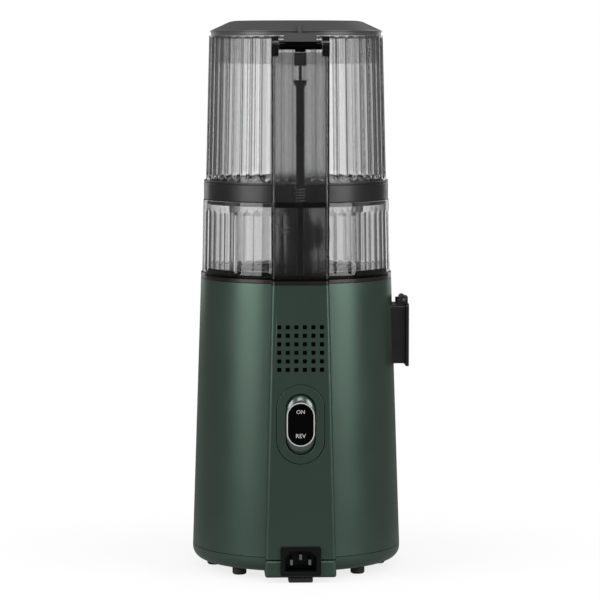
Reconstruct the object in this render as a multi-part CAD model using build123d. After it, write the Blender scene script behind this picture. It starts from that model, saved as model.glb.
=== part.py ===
"""Slim self-feeding cold press juicer, as an assembly of separate pieces.

Millimetres. +Z is up and the origin is on the machine's axis at the table. The front (juice spout) faces
-Y, the back (panel, switch, mains inlet, spine and lid hinge) faces +Y, and the pulp spout faces -X.
"""
import math
import os

from build123d import *

# ---- Heights of the stack, from the table up -------------------------------------------------------
FOOT_HEIGHT = 6.5
BASE_COVER_HEIGHT = 11.8
BODY_HEIGHT = 209.7
DECK_LIP = 0.4
TRIM_RING_HEIGHT = 4.6
DRUM_HEIGHT = 57.0
COLLAR_HEIGHT = 15.0
HOPPER_HEIGHT = 112.5
LID_GAP = 2.7
LID_RIM_HEIGHT = 1.4
LID_CROWN_HEIGHT = 7.4

# ---- Outside radii ---------------------------------------------------------------------------------
BODY_BOTTOM_RADIUS = 81.8
BODY_TOP_RADIUS = 74.9
TRIM_STEP = 0.1
DRUM_STEP = 1.0
DRUM_TAPER = 1.1
COLLAR_STEP = 0.4
HOPPER_STEP = 1.6
HOPPER_TAPER = 2.7
LID_STEP = 0.7
LID_CROWN_INSET = 16.8

# ---- Walls and fits --------------------------------------------------------------------------------
BODY_WALL = 2.6
COVER_WALL = 2.5
DRUM_WALL = 2.5
HOPPER_WALL = 2.5
LID_WALL = 2.2
SPINE_WALL = 2.0
RUNNING_FIT = 0.05
SLIDING_FIT = 0.3
REST_GAP = 0.1
SEAM_GAP = 0.4
BOLTED_GAP = 0.02

# ---- Back panel of the body and the spine above it --------------------------------------------------
PANEL_BOTTOM_Z = 4.0
PANEL_BOTTOM_WIDTH = 55.0
PANEL_STANDOUT = 7.2
SPINE_WIDTH = 44.0
SPINE_STANDOUT = 10.1
PANEL_CORNER = 3.0
PANEL_TOE = 2.6
VENT_ROWS = 6
VENT_SIZE = 3.3
VENT_PITCH = 6.5
VENT_CORNER = 0.7
VENT_DROP = 48.0

# ---- Lid hinge and interlock ------------------------------------------------------------------------
HINGE_DROP = 7.4
HINGE_PIN_RADIUS = 1.5
HINGE_BARREL_RADIUS = 3.6
HINGE_LUG_RADIUS = 6.5
HINGE_LUG_WIDTH = 5.4
HINGE_ARM_WIDTH = 24.4
HINGE_STRAP_DROP = 1.3
HINGE_RIB_WIDTH = 2.8
HINGE_RIB_RISE = 0.8
HINGE_RIB_REACH = 6.0
CAM_RADIUS = 5.4
CAM_HALF_ANGLE = 10.0
CAM_WIDTH = 8.0
SKIRT_DEPTH = 21.5
SKIRT_TAPER = 1.0
SKIRT_CLEARANCE = 2.1
SPINE_TOP_DROP = 5.6
ROD_RADIUS = 3.15
ROD_HEAD_RADIUS = 5.0
PUSHER_WIDTH = 9.2
PUSHER_DEPTH = 7.0
PUSHER_HEIGHT = 10.0
PUSHER_NECK_RADIUS = 1.15
PUSHER_NECK_HEIGHT = 10.8
PLUNGER_RADIUS = 2.5
PLUNGER_LIP = 0.6
SPRING_HEIGHT = 12.0
SPRING_TURNS = 5
SPRING_WIRE_RADIUS = 0.5

# ---- Drum, strainer and auger -----------------------------------------------------------------------
WELL_DEPTH = 80.0
WELL_WALL = 2.5
WELL_FLOOR = 3.0
DRUM_STANDOFF = 4.0
BOWL_CLEARANCE = 1.5
JUICE_GAP = 4.5
STRAINER_CLEARANCE = 0.7
DRUM_LEDGE = 3.0
STRAINER_RADIUS = 49.8
STRAINER_WALL = 3.0
STRAINER_RING = 6.0
STRAINER_RIBS = 16
SCREEN_WALL = 0.4
AUGER_CLEARANCE = 1.0
AUGER_CORE_RADIUS = 31.0
AUGER_NECK_RADIUS = 14.0
AUGER_TOP_RADIUS = 9.0
WING_RADIUS = 24.0
FLIGHT_THICKNESS = 4.0
FLIGHT_PITCH = 36.0
WING_PITCH = 62.0
FUNNEL_RADIUS = 30.0
SOCKET_RADIUS = 9.0
DRIVE_FLATS = 11.0
DRIVE_HEIGHT = 24.0

# ---- Spouts -----------------------------------------------------------------------------------------
PULP_WIDTH = 36.0
PULP_RISE = 4.0
PULP_HEIGHT = 46.0
PULP_STANDOUT = 8.2
PULP_FLAP_THICKNESS = 2.4
PULP_FLAP_MARGIN = 2.2
JUICE_WIDTH = 30.0
JUICE_RISE = 6.0
JUICE_HEIGHT = 26.0
JUICE_STANDOUT = 29.0
JUICE_MOUTH = 15.0
JUICE_CORNER = 6.0
JUICE_CAP_THICKNESS = 2.4
SPOUT_WALL = 2.5
FLAP_PIN_RADIUS = 1.2
FLAP_KNUCKLE_RADIUS = 2.6

# ---- Switch and mains inlet on the panel ------------------------------------------------------------
SWITCH_DROP = 106.0
SWITCH_PLATE_WIDTH = 37.0
SWITCH_PLATE_HEIGHT = 61.0
SWITCH_PLATE_THICKNESS = 2.6
SWITCH_WELL_WIDTH = 23.4
SWITCH_WELL_HEIGHT = 47.5
SWITCH_WELL_DEPTH = 10.0
SWITCH_WELL_WALL = 1.8
ROCKER_SIDE_GAP = 0.5
ROCKER_END_GAP = 0.65
ROCKER_DEPTH = 6.5
ROCKER_PIVOT_DEPTH = 4.0
ROCKER_PIN_RADIUS = 1.0
ROCKER_FACE_WIDTH = 19.7
ROCKER_FACE_HEIGHT = 32.0
ROCKER_RING_WIDTH = 0.8
SWITCH_MODULE_WIDTH = 22.0
SWITCH_MODULE_HEIGHT = 34.0
SWITCH_MODULE_DEPTH = 16.0
SWITCH_CLIP_HEIGHT = 30.0
SWITCH_CLIP_DEPTH = 3.0
INLET_RISE = 13.0
INLET_RIM = 1.8
INLET_FLANGE = 2.0
INLET_WALL = 1.7
INLET_BACK_WALL = 6.0
INLET_SOCKET_WIDTH = 24.0
INLET_SOCKET_HEIGHT = 15.6
INLET_SOCKET_DEPTH = 16.0
INLET_SOCKET_BEVEL = 4.5
INLET_PIN_SPACING = 7.0
INLET_PIN_WIDTH = 2.0
INLET_PIN_HEIGHT = 4.0
INLET_PIN_RECESS = 3.0
INLET_EARTH_RISE = 4.0

# ---- Feet and screws --------------------------------------------------------------------------------
FOOT_RADIUS = 5.5
FOOT_INSET = 16.8
FOOT_SEAT = 1.0
REAR_FOOT_WIDTH = 18.8
REAR_FOOT_DEPTH = 12.0
SCREW_RADIUS = 1.6
SCREW_INSET = 12.8
SCREW_LENGTH = 16.0
BOSS_RADIUS = 4.5
BOSS_HEIGHT = 18.0

# ---- Motor and gearbox ------------------------------------------------------------------------------
GEAR_MODULE = 1.1
SUN_TEETH = 18
PLANET_TEETH = 18
PLANET_COUNT = 3
GEAR_WIDTH = 8.0
GEAR_BACKLASH = 0.2
FLANK_START = 0.02
PRESSURE_ANGLE = 20.0
CARRIER_THICKNESS = 3.4
CARRIER_RIM = 3.2
PLANET_PIN_RADIUS = 3.0
STAGE_GAP = 0.6
GEARBOX_WALL = 7.3
GEARBOX_COVER_THICKNESS = 4.0
DAMPER_HEIGHT = 4.0
DAMPER_INSET = 6.0
DAMPER_RADIUS = 5.0
OUTPUT_BEARING_RADIUS = 16.0
OUTPUT_BEARING_HEIGHT = 9.0
OUTPUT_SHAFT_RADIUS = 7.5
SEAT_POST_HEIGHT = 18.0
STATOR_RADIUS = 42.0
STATOR_BORE = 23.0
STATOR_SLOTS = 12
WINDING_OVERHANG = 8.0
AIR_GAP = 0.6
MOTOR_SHAFT_RADIUS = 4.0
MOTOR_BELL_THICKNESS = 4.0
MOTOR_BEARING_RADIUS = 11.0
MOTOR_BEARING_HEIGHT = 7.0
FAN_RADIUS = 33.0
FAN_HEIGHT = 9.0
FAN_BLADES = 9
FAN_CLEARANCE = 18.8

# ---- Control board ----------------------------------------------------------------------------------
BOARD_WIDTH = 56.0
BOARD_HEIGHT = 52.0
BOARD_THICKNESS = 1.6
BOARD_STANDOUT = 12.0
BOARD_RISE = 17.0
RELAY_WIDTH = 14.0
RELAY_HEIGHT = 16.0
RELAY_DEPTH = 12.0
CHOKE_RADIUS = 6.0
CHOKE_DEPTH = 10.0
CAPACITOR_WIDTH = 10.0
CAPACITOR_HEIGHT = 18.0
CAPACITOR_DEPTH = 9.0

# ---- Levels that follow from the sizes above --------------------------------------------------------
SEAM_Z = FOOT_HEIGHT + BASE_COVER_HEIGHT
BODY_TOP = SEAM_Z + BODY_HEIGHT
TRIM_Z = BODY_TOP + DECK_LIP
DRUM_Z = TRIM_Z + TRIM_RING_HEIGHT
DRUM_TOP = DRUM_Z + DRUM_HEIGHT
HOPPER_Z = DRUM_TOP + COLLAR_HEIGHT
HOPPER_TOP = HOPPER_Z + HOPPER_HEIGHT
LID_Z = HOPPER_TOP + LID_GAP
LID_RIM_TOP = LID_Z + LID_RIM_HEIGHT
LID_TOP = LID_RIM_TOP + LID_CROWN_HEIGHT

TRIM_RING_RADIUS = BODY_TOP_RADIUS - TRIM_STEP
DRUM_BOTTOM_RADIUS = TRIM_RING_RADIUS - DRUM_STEP
DRUM_TOP_RADIUS = DRUM_BOTTOM_RADIUS - DRUM_TAPER
COLLAR_RADIUS = DRUM_TOP_RADIUS - COLLAR_STEP
HOPPER_BOTTOM_RADIUS = COLLAR_RADIUS - HOPPER_STEP
HOPPER_TOP_RADIUS = HOPPER_BOTTOM_RADIUS - HOPPER_TAPER
LID_RIM_RADIUS = HOPPER_TOP_RADIUS - LID_STEP
LID_CROWN_RADIUS = LID_RIM_RADIUS - LID_CROWN_INSET
FOOT_CIRCLE = BODY_BOTTOM_RADIUS - FOOT_INSET
SCREW_CIRCLE = BODY_BOTTOM_RADIUS - SCREW_INSET
SPINE_FACE = BODY_TOP_RADIUS + SPINE_STANDOUT
PANEL_BOTTOM_FACE = BODY_BOTTOM_RADIUS + PANEL_STANDOUT
VENT_Z = BODY_TOP - VENT_DROP
SWITCH_Z = BODY_TOP - SWITCH_DROP
INLET_Z = PANEL_BOTTOM_Z + INLET_RISE
HINGE_Z = HOPPER_TOP - HINGE_DROP

WELL_FLOOR_TOP = DRUM_Z - WELL_DEPTH
WELL_FLOOR_BOTTOM = WELL_FLOOR_TOP - WELL_FLOOR
BOWL_BOTTOM = WELL_FLOOR_TOP + DRUM_STANDOFF
BOWL_FLOOR_TOP = BOWL_BOTTOM + COVER_WALL
CHAMBER_INNER = STRAINER_RADIUS + STRAINER_CLEARANCE
CHAMBER_RADIUS = CHAMBER_INNER + DRUM_WALL
BOWL_INNER = CHAMBER_RADIUS + JUICE_GAP
BOWL_RADIUS = BOWL_INNER + DRUM_WALL
WELL_RADIUS = BOWL_RADIUS + BOWL_CLEARANCE
CHAMBER_TOP = DRUM_TOP - 4.0
STRAINER_BOTTOM = BOWL_FLOOR_TOP + SLIDING_FIT
STRAINER_TOP = DRUM_Z + DRUM_LEDGE - 1.0
STRAINER_INNER = STRAINER_RADIUS - STRAINER_WALL
AUGER_RADIUS = STRAINER_INNER - SCREEN_WALL - AUGER_CLEARANCE
PULP_BOTTOM_Z = BOWL_BOTTOM + PULP_RISE
JUICE_BOTTOM_Z = BOWL_BOTTOM + JUICE_RISE

GEARBOX_COVER_TOP = WELL_FLOOR_BOTTOM - SEAT_POST_HEIGHT - DAMPER_HEIGHT
GEARBOX_COVER_BOTTOM = GEARBOX_COVER_TOP - GEARBOX_COVER_THICKNESS
OUTPUT_CARRIER_TOP = GEARBOX_COVER_BOTTOM - STAGE_GAP
OUTPUT_CARRIER_BOTTOM = OUTPUT_CARRIER_TOP - CARRIER_THICKNESS
SECOND_GEAR_TOP = OUTPUT_CARRIER_BOTTOM - STAGE_GAP
SECOND_GEAR_BOTTOM = SECOND_GEAR_TOP - GEAR_WIDTH
FIRST_CARRIER_TOP = SECOND_GEAR_BOTTOM - STAGE_GAP
FIRST_CARRIER_BOTTOM = FIRST_CARRIER_TOP - CARRIER_THICKNESS
FIRST_GEAR_TOP = FIRST_CARRIER_BOTTOM - STAGE_GAP
FIRST_GEAR_BOTTOM = FIRST_GEAR_TOP - GEAR_WIDTH
GEARBOX_BOTTOM = FIRST_GEAR_BOTTOM - 2.0
UPPER_BELL_BOTTOM = GEARBOX_BOTTOM - MOTOR_BELL_THICKNESS
STATOR_TOP = UPPER_BELL_BOTTOM - WINDING_OVERHANG
FAN_BOTTOM = FOOT_HEIGHT + COVER_WALL + FAN_CLEARANCE
FAN_TOP = FAN_BOTTOM + FAN_HEIGHT
LOWER_BELL_BOTTOM = FAN_TOP + 2.0
LOWER_BELL_TOP = LOWER_BELL_BOTTOM + MOTOR_BELL_THICKNESS
STATOR_BOTTOM = LOWER_BELL_TOP + WINDING_OVERHANG
ROTOR_RADIUS = STATOR_BORE - AIR_GAP

RING_TEETH = SUN_TEETH + 2 * PLANET_TEETH
PLANET_CIRCLE = GEAR_MODULE * (SUN_TEETH + PLANET_TEETH) / 2
CARRIER_RADIUS = PLANET_CIRCLE + PLANET_PIN_RADIUS + CARRIER_RIM
GEARBOX_RADIUS = GEAR_MODULE * RING_TEETH / 2 + GEARBOX_WALL
DAMPER_CIRCLE = GEARBOX_RADIUS - DAMPER_INSET
SEAL_RADIUS = OUTPUT_SHAFT_RADIUS + 5.0
BOARD_Y = STATOR_RADIUS + BOARD_STANDOUT
BOARD_BOTTOM = FOOT_HEIGHT + COVER_WALL + BOARD_RISE
PANEL_SLOPE = (PANEL_BOTTOM_FACE - SPINE_FACE) / (BODY_TOP - PANEL_BOTTOM_Z)
PULP_TOP_Z = PULP_BOTTOM_Z + PULP_HEIGHT
JUICE_TOP_Z = JUICE_BOTTOM_Z + JUICE_HEIGHT
HINGE_Y = SPINE_FACE - HINGE_LUG_RADIUS
ROD_Y = SPINE_FACE - SPINE_WALL - ROD_HEAD_RADIUS - REST_GAP
PLUNGER_BOTTOM = BODY_TOP - 10.0
PUSHER_TOP = HINGE_Z - CAM_RADIUS - SLIDING_FIT
ROD_TOP = PUSHER_TOP - PUSHER_HEIGHT - PUSHER_NECK_HEIGHT
ROD_BOTTOM = DRUM_TOP + 0.3
SPINE_SPLIT = DRUM_TOP - 1.0
ROD_FLANGE_Z = SPINE_SPLIT + SPINE_WALL + REST_GAP + SPRING_HEIGHT

ROCKER_WIDTH = SWITCH_WELL_WIDTH - 2 * ROCKER_SIDE_GAP
ROCKER_HEIGHT = SWITCH_WELL_HEIGHT - 2 * ROCKER_END_GAP
RING_WIDTH = ROCKER_FACE_WIDTH + 2 * ROCKER_RING_WIDTH
RING_HEIGHT = ROCKER_FACE_HEIGHT + 2 * ROCKER_RING_WIDTH
INLET_BODY_WIDTH = INLET_SOCKET_WIDTH + 2 * INLET_WALL
INLET_BODY_HEIGHT = INLET_SOCKET_HEIGHT + 2 * INLET_WALL
INLET_BODY_DEPTH = INLET_SOCKET_DEPTH + INLET_BACK_WALL
INLET_WIDTH = INLET_BODY_WIDTH + 2 * INLET_RIM
INLET_HEIGHT = INLET_BODY_HEIGHT + 2 * INLET_RIM

ON_BASE = (Align.CENTER, Align.CENTER, Align.MIN)


# ---- Shape helpers ----------------------------------------------------------------------------------
def disc(radius, bottom, top, x=0.0, y=0.0):
    """Upright cylinder between two heights."""
    return Pos(x, y, bottom) * Cylinder(radius, top - bottom, align=ON_BASE)


def tube(outer, inner, bottom, top, x=0.0, y=0.0):
    """Upright ring between two heights."""
    return disc(outer, bottom, top, x, y) - disc(inner, bottom - 1, top + 1, x, y)


def block(x_range, y_range, z_range):
    """Box from its lowest to its highest value on each axis."""
    sizes = [high - low for low, high in (x_range, y_range, z_range)]
    low_corner = (x_range[0], y_range[0], z_range[0])
    return Pos(*low_corner) * Box(*sizes, align=(Align.MIN, Align.MIN, Align.MIN))


def lathe(*points):
    """Solid of revolution about Z from (radius, height) corners."""
    return revolve(Plane.XZ * make_face(Polyline(*points, close=True)), Axis.Z)


def rod_along_x(radius, x_range, y, z):
    """Cylinder that lies along X."""
    length = x_range[1] - x_range[0]
    return Pos(x_range[0], y, z) * Rot(0, 90, 0) * Cylinder(radius, length, align=ON_BASE)


def rod_along_y(radius, y_range, x, z):
    """Cylinder that lies along Y."""
    length = y_range[1] - y_range[0]
    return Pos(x, y_range[1], z) * Rot(90, 0, 0) * Cylinder(radius, length, align=ON_BASE)


def around(shape, count, start=0.0):
    """Copies of a shape, evenly turned about Z."""
    return [Rot(0, 0, start + 360 * i / count) * shape for i in range(count)]


def between(low, high, share):
    """Value that lies a share of the way from low to high."""
    return low + (high - low) * share


def body_radius(z):
    """Outside radius of the tapered body at a height."""
    return between(BODY_BOTTOM_RADIUS, BODY_TOP_RADIUS, (z - SEAM_Z) / BODY_HEIGHT)


# How far the spouts reach follows from the body's taper at their height.
PULP_REACH = body_radius(PULP_BOTTOM_Z) + PULP_STANDOUT
PULP_HINGE_X = -PULP_REACH + FLAP_KNUCKLE_RADIUS * 0.4
PULP_HINGE_Z = PULP_TOP_Z + FLAP_KNUCKLE_RADIUS + 1.6
JUICE_REACH = body_radius(JUICE_BOTTOM_Z) + JUICE_STANDOUT
JUICE_HINGE_Y = -JUICE_REACH + 3.0
JUICE_HINGE_Z = JUICE_TOP_Z + FLAP_KNUCKLE_RADIUS + 0.8


def hopper_radius(z):
    """Outside radius of the hopper tube at a height."""
    return between(HOPPER_BOTTOM_RADIUS, HOPPER_TOP_RADIUS, (z - HOPPER_Z) / HOPPER_HEIGHT)


def drum_radius(z):
    """Outside radius of the drum's fluted skirt at a height."""
    return between(DRUM_BOTTOM_RADIUS, DRUM_TOP_RADIUS, (z - DRUM_Z) / DRUM_HEIGHT)


def panel_face(z):
    """How far the back panel's face lies from the axis at a height."""
    return SPINE_FACE + (BODY_TOP - z) * PANEL_SLOPE


def panel_width(z):
    """Width of the back panel at a height."""
    return between(PANEL_BOTTOM_WIDTH, SPINE_WIDTH, (z - PANEL_BOTTOM_Z) / (BODY_TOP - PANEL_BOTTOM_Z))


def panel_plane(z):
    """Plane on the panel's sloping face: x to the viewer's right from behind, y up the panel, z outwards."""
    slope_angle = math.atan(PANEL_SLOPE)
    outwards = (0, math.cos(slope_angle), math.sin(slope_angle))
    return Plane(origin=(0, panel_face(z), z), x_dir=(-1, 0, 0), z_dir=outwards)


def slot_block(width, height, bottom, top, z):
    """Upright oval block on the panel's face, from one depth to another."""
    outline = SlotOverall(height, width, rotation=90)
    return panel_plane(z) * Pos(0, 0, bottom) * extrude(outline, top - bottom)


def rounded_block(width, height, corner, bottom, top, z):
    """Block with round corners on the panel's face, from one depth to another."""
    outline = RectangleRounded(width, height, corner)
    return panel_plane(z) * Pos(0, 0, bottom) * extrude(outline, top - bottom)


def panel_block(bottom, top, inset, corner):
    """The tapering back panel as a solid block, set in by a wall."""
    sections = []
    for z in (bottom, top):
        half = panel_width(z) / 2 - inset
        face = panel_face(z) - inset
        depth = face - BODY_TOP_RADIUS / 2
        sections.append(Pos(0, face - depth / 2, z) * Rectangle(2 * half, depth))
    solid = loft(sections)
    if corner <= 0:
        return solid
    upright = [e for e in solid.edges() if e.length > 0.9 * (top - bottom) and e.center().Y > BODY_TOP_RADIUS]
    return fillet(upright, corner)


def spine_block(bottom, top, inset=0.0, corner=PANEL_CORNER, y_from=50.0):
    """The straight spine as a solid block, set in by a wall."""
    half = SPINE_WIDTH / 2 - inset
    solid = block((-half, half), (y_from, SPINE_FACE - inset), (bottom, top))
    if corner <= 0:
        return solid
    upright = [e for e in solid.edges().filter_by(Axis.Z) if e.center().Y > y_from + 1]
    return fillet(upright, corner)


def write(name, shape):
    """Save one named piece."""
    export_step(shape, f"parts/{name}.step")


# ---- Lid --------------------------------------------------------------------------------------------
def lid_cover():
    underside = LID_CROWN_RADIUS - LID_WALL / 2
    shell = lathe(
        (0, LID_TOP), (LID_CROWN_RADIUS, LID_TOP), (LID_RIM_RADIUS - 0.8, LID_RIM_TOP),
        (LID_RIM_RADIUS, LID_RIM_TOP - 0.4), (LID_RIM_RADIUS, LID_Z), (LID_RIM_RADIUS - 2 * LID_WALL, LID_Z),
        (underside, LID_TOP - LID_WALL), (0, LID_TOP - LID_WALL),
    )
    return shell


def lid_liner():
    rest = HOPPER_TOP + REST_GAP
    flange = LID_RIM_RADIUS - 0.8
    skirt_top = hopper_radius(HOPPER_TOP) - HOPPER_WALL - SKIRT_CLEARANCE
    skirt_bottom = skirt_top - SKIRT_TAPER
    bottom = HOPPER_TOP - SKIRT_DEPTH
    return lathe(
        (flange, rest), (flange, LID_Z), (skirt_top - LID_WALL, LID_Z), (skirt_bottom - LID_WALL, bottom),
        (skirt_bottom, bottom), (skirt_top, rest),
    )


def lid_hinge_rib():
    """Small rib on the hinge arm that hooks over the lid's rim and lies on its slope."""
    slope = (LID_TOP - LID_RIM_TOP) / (LID_RIM_RADIUS - 0.8 - LID_CROWN_RADIUS)
    rim = LID_RIM_RADIUS + REST_GAP
    tip = LID_RIM_RADIUS - HINGE_RIB_REACH
    rise = LID_RIM_TOP + REST_GAP
    outline = Polyline(
        (tip, rise + (rim - tip) * slope), (tip, rise + (rim - tip) * slope + HINGE_RIB_RISE),
        (rim, rise + HINGE_RIB_RISE), (HINGE_Y, LID_Z - HINGE_STRAP_DROP),
        (HINGE_Y, HOPPER_TOP + REST_GAP), (rim, HOPPER_TOP + REST_GAP), (rim, rise), close=True,
    )
    return extrude(Plane.YZ * make_face(outline), HINGE_RIB_WIDTH / 2, both=True)


def lid_hinge_arm():
    half = HINGE_ARM_WIDTH / 2
    outer = HINGE_Y + HINGE_BARREL_RADIUS
    inner = hopper_radius(HOPPER_TOP) + 2.0
    strap_bottom = HOPPER_TOP + REST_GAP
    strap_top = LID_Z - HINGE_STRAP_DROP
    strap = block((-half, half), (LID_RIM_RADIUS - 10, outer), (strap_bottom, strap_top))
    drop = block((-half, half), (inner, outer), (HINGE_Z, strap_top))
    liner_edge = disc(LID_RIM_RADIUS - 0.8 + REST_GAP, HOPPER_TOP - 5, LID_TOP)
    reach = SPINE_WIDTH / 2 - HINGE_LUG_WIDTH - SLIDING_FIT
    barrel = rod_along_x(HINGE_BARREL_RADIUS, (-reach, reach), HINGE_Y, HINGE_Z)
    cam_half = CAM_RADIUS * math.sin(math.radians(CAM_HALF_ANGLE))
    cam_disc = rod_along_x(CAM_RADIUS, (-CAM_WIDTH / 2, CAM_WIDTH / 2), HINGE_Y, HINGE_Z)
    cam_slot = block(
        (-CAM_WIDTH, CAM_WIDTH), (HINGE_Y - cam_half, HINGE_Y + cam_half), (HINGE_Z - CAM_RADIUS - 1, HINGE_Z)
    )
    arm = (strap + drop - liner_edge) + lid_hinge_rib() + barrel + (cam_disc & cam_slot)
    return arm - rod_along_x(HINGE_PIN_RADIUS + RUNNING_FIT, (-half * 2, half * 2), HINGE_Y, HINGE_Z)


def lid_hinge_pin():
    reach = SPINE_WIDTH / 2 - 0.5
    return rod_along_x(HINGE_PIN_RADIUS, (-reach, reach), HINGE_Y, HINGE_Z)


# ---- Hopper -----------------------------------------------------------------------------------------
def hopper_body():
    bottom = HOPPER_Z - 7.0
    seat_radius = COLLAR_RADIUS - 2.6 - REST_GAP
    inner_bottom = hopper_radius(HOPPER_Z) - HOPPER_WALL
    inner_top = hopper_radius(HOPPER_TOP) - HOPPER_WALL
    return lathe(
        (inner_bottom, bottom), (seat_radius, bottom), (seat_radius, HOPPER_Z + REST_GAP),
        (hopper_radius(HOPPER_Z), HOPPER_Z + REST_GAP), (hopper_radius(HOPPER_TOP), HOPPER_TOP),
        (inner_top, HOPPER_TOP), (inner_bottom, HOPPER_Z),
    )


def hopper_cutter(clearance):
    """The tapered hopper and collar as one solid, to fit the spine against."""
    drum_edge = DRUM_TOP_RADIUS + SLIDING_FIT
    return lathe(
        (0, DRUM_TOP - 5), (drum_edge, DRUM_TOP - 5), (drum_edge, DRUM_TOP + SLIDING_FIT),
        (COLLAR_RADIUS + clearance, DRUM_TOP + SLIDING_FIT), (COLLAR_RADIUS + clearance, HOPPER_Z),
        (hopper_radius(HOPPER_Z) + clearance, HOPPER_Z), (hopper_radius(HOPPER_TOP) + clearance, HOPPER_TOP),
        (0, HOPPER_TOP),
    )


def hopper_spine():
    top = HINGE_Z - SPINE_TOP_DROP
    channel_bottom = SPINE_SPLIT + REST_GAP
    shell = spine_block(channel_bottom, top)
    shell -= spine_block(channel_bottom + SPINE_WALL, top + 1, inset=SPINE_WALL, corner=PANEL_CORNER / 2)
    shell -= hopper_cutter(REST_GAP)
    shell -= disc(ROD_RADIUS + SLIDING_FIT, channel_bottom - 1, channel_bottom + SPINE_WALL + 1, y=ROD_Y)
    lug_outer = SPINE_WIDTH / 2
    for side in (-1, 1):
        span = sorted((side * lug_outer, side * (lug_outer - HINGE_LUG_WIDTH)))
        lug = rod_along_x(HINGE_LUG_RADIUS, span, HINGE_Y, HINGE_Z)
        web = block(span, (HINGE_Y - HINGE_LUG_RADIUS, HINGE_Y + HINGE_LUG_RADIUS), (top - 3, HINGE_Z))
        shell += lug + web
    pin_span = (-SPINE_WIDTH, SPINE_WIDTH)
    shell -= rod_along_x(HINGE_PIN_RADIUS, pin_span, HINGE_Y, HINGE_Z)
    return shell - hopper_cutter(REST_GAP)


def hopper_collar():
    seat_radius = COLLAR_RADIUS - 2.6
    shoulder = HOPPER_Z - 7.0 - REST_GAP
    spigot = drum_radius(DRUM_TOP) - DRUM_WALL - 0.6
    spigot_bottom = DRUM_TOP - 3.5
    inner = spigot - 2.4
    funnel_bottom = DRUM_TOP + 1.5
    return lathe(
        (spigot, spigot_bottom), (spigot, DRUM_TOP + REST_GAP), (COLLAR_RADIUS, DRUM_TOP + REST_GAP),
        (COLLAR_RADIUS, HOPPER_Z), (seat_radius, HOPPER_Z), (seat_radius, shoulder), (inner - 1, shoulder),
        (FUNNEL_RADIUS, funnel_bottom + 4.5), (FUNNEL_RADIUS, funnel_bottom), (inner, funnel_bottom),
        (inner, spigot_bottom),
    )


def interlock_pusher():
    half = PUSHER_WIDTH / 2
    bottom = PUSHER_TOP - PUSHER_HEIGHT
    head = block((-half, half), (ROD_Y - PUSHER_DEPTH / 2, ROD_Y + PUSHER_DEPTH / 2), (bottom, PUSHER_TOP))
    head = fillet(head.edges().filter_by(Axis.Z), 1.0)
    return head + disc(PUSHER_NECK_RADIUS, ROD_TOP, bottom + 1, y=ROD_Y)


def interlock_rod():
    flange_top = ROD_FLANGE_Z + 1.5
    stem = lathe(
        (0, ROD_BOTTOM), (ROD_RADIUS, ROD_BOTTOM), (ROD_RADIUS, ROD_FLANGE_Z), (ROD_RADIUS + 1.2, ROD_FLANGE_Z),
        (ROD_RADIUS + 1.2, flange_top), (ROD_RADIUS, flange_top), (ROD_RADIUS, ROD_TOP - 6),
        (ROD_HEAD_RADIUS, ROD_TOP - 2.4), (ROD_HEAD_RADIUS, ROD_TOP), (0, ROD_TOP),
    )
    return Pos(0, ROD_Y, 0) * stem


def interlock_spring():
    coil_radius = ROD_RADIUS + SLIDING_FIT + SPRING_WIRE_RADIUS
    height = SPRING_HEIGHT - 2 * SPRING_WIRE_RADIUS - REST_GAP
    path = Helix(height / SPRING_TURNS, height, coil_radius)
    start = Plane(origin=path @ 0, z_dir=path % 0)
    coil = sweep(start * Circle(SPRING_WIRE_RADIUS), path=path, is_frenet=True)
    bottom = SPINE_SPLIT + SPINE_WALL + REST_GAP + SPRING_WIRE_RADIUS
    return Pos(0, ROD_Y, bottom) * coil


# ---- Drum -------------------------------------------------------------------------------------------
def pulp_duct(clearance=0.0):
    """Straight duct for the pulp, from the strainer's wall towards -X."""
    half = PULP_WIDTH / 2 - SPOUT_WALL + clearance
    low = PULP_BOTTOM_Z + SPOUT_WALL - clearance
    high = PULP_TOP_Z - SPOUT_WALL + clearance
    return block((-BOWL_RADIUS - 20, 0), (-half, half), (low, high))


def juice_duct(clearance=0.0):
    """Straight duct for the juice, from the bowl's wall towards -Y."""
    half = JUICE_WIDTH / 2 - SPOUT_WALL + clearance
    low = JUICE_BOTTOM_Z + SPOUT_WALL - clearance
    high = JUICE_TOP_Z - SPOUT_WALL + clearance
    return block((-half, half), (-BOWL_RADIUS - 20, -STRAINER_RADIUS - 1), (low, high))


def drum_body():
    ledge_top = DRUM_Z + DRUM_LEDGE
    hub = SOCKET_RADIUS + SLIDING_FIT + 3.0
    shell = lathe(
        (drum_radius(DRUM_Z), DRUM_Z), (drum_radius(DRUM_TOP), DRUM_TOP),
        (drum_radius(DRUM_TOP) - DRUM_WALL, DRUM_TOP), (drum_radius(ledge_top) - DRUM_WALL, ledge_top),
        (CHAMBER_RADIUS, ledge_top), (CHAMBER_RADIUS, CHAMBER_TOP), (CHAMBER_INNER, CHAMBER_TOP),
        (CHAMBER_INNER, DRUM_Z), (BOWL_INNER, DRUM_Z), (BOWL_INNER, BOWL_FLOOR_TOP), (hub, BOWL_FLOOR_TOP),
        (hub, BOWL_BOTTOM), (BOWL_RADIUS, BOWL_BOTTOM), (BOWL_RADIUS, DRUM_Z),
    )
    liner = block(
        (-BOWL_INNER, -STRAINER_RADIUS), (-PULP_WIDTH / 2, PULP_WIDTH / 2), (BOWL_BOTTOM, PULP_TOP_Z)
    )
    liner &= tube(BOWL_INNER + 0.5, STRAINER_RADIUS + 0.4, BOWL_BOTTOM, PULP_TOP_Z + 1)
    return shell + liner - pulp_duct() - juice_duct()


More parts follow.
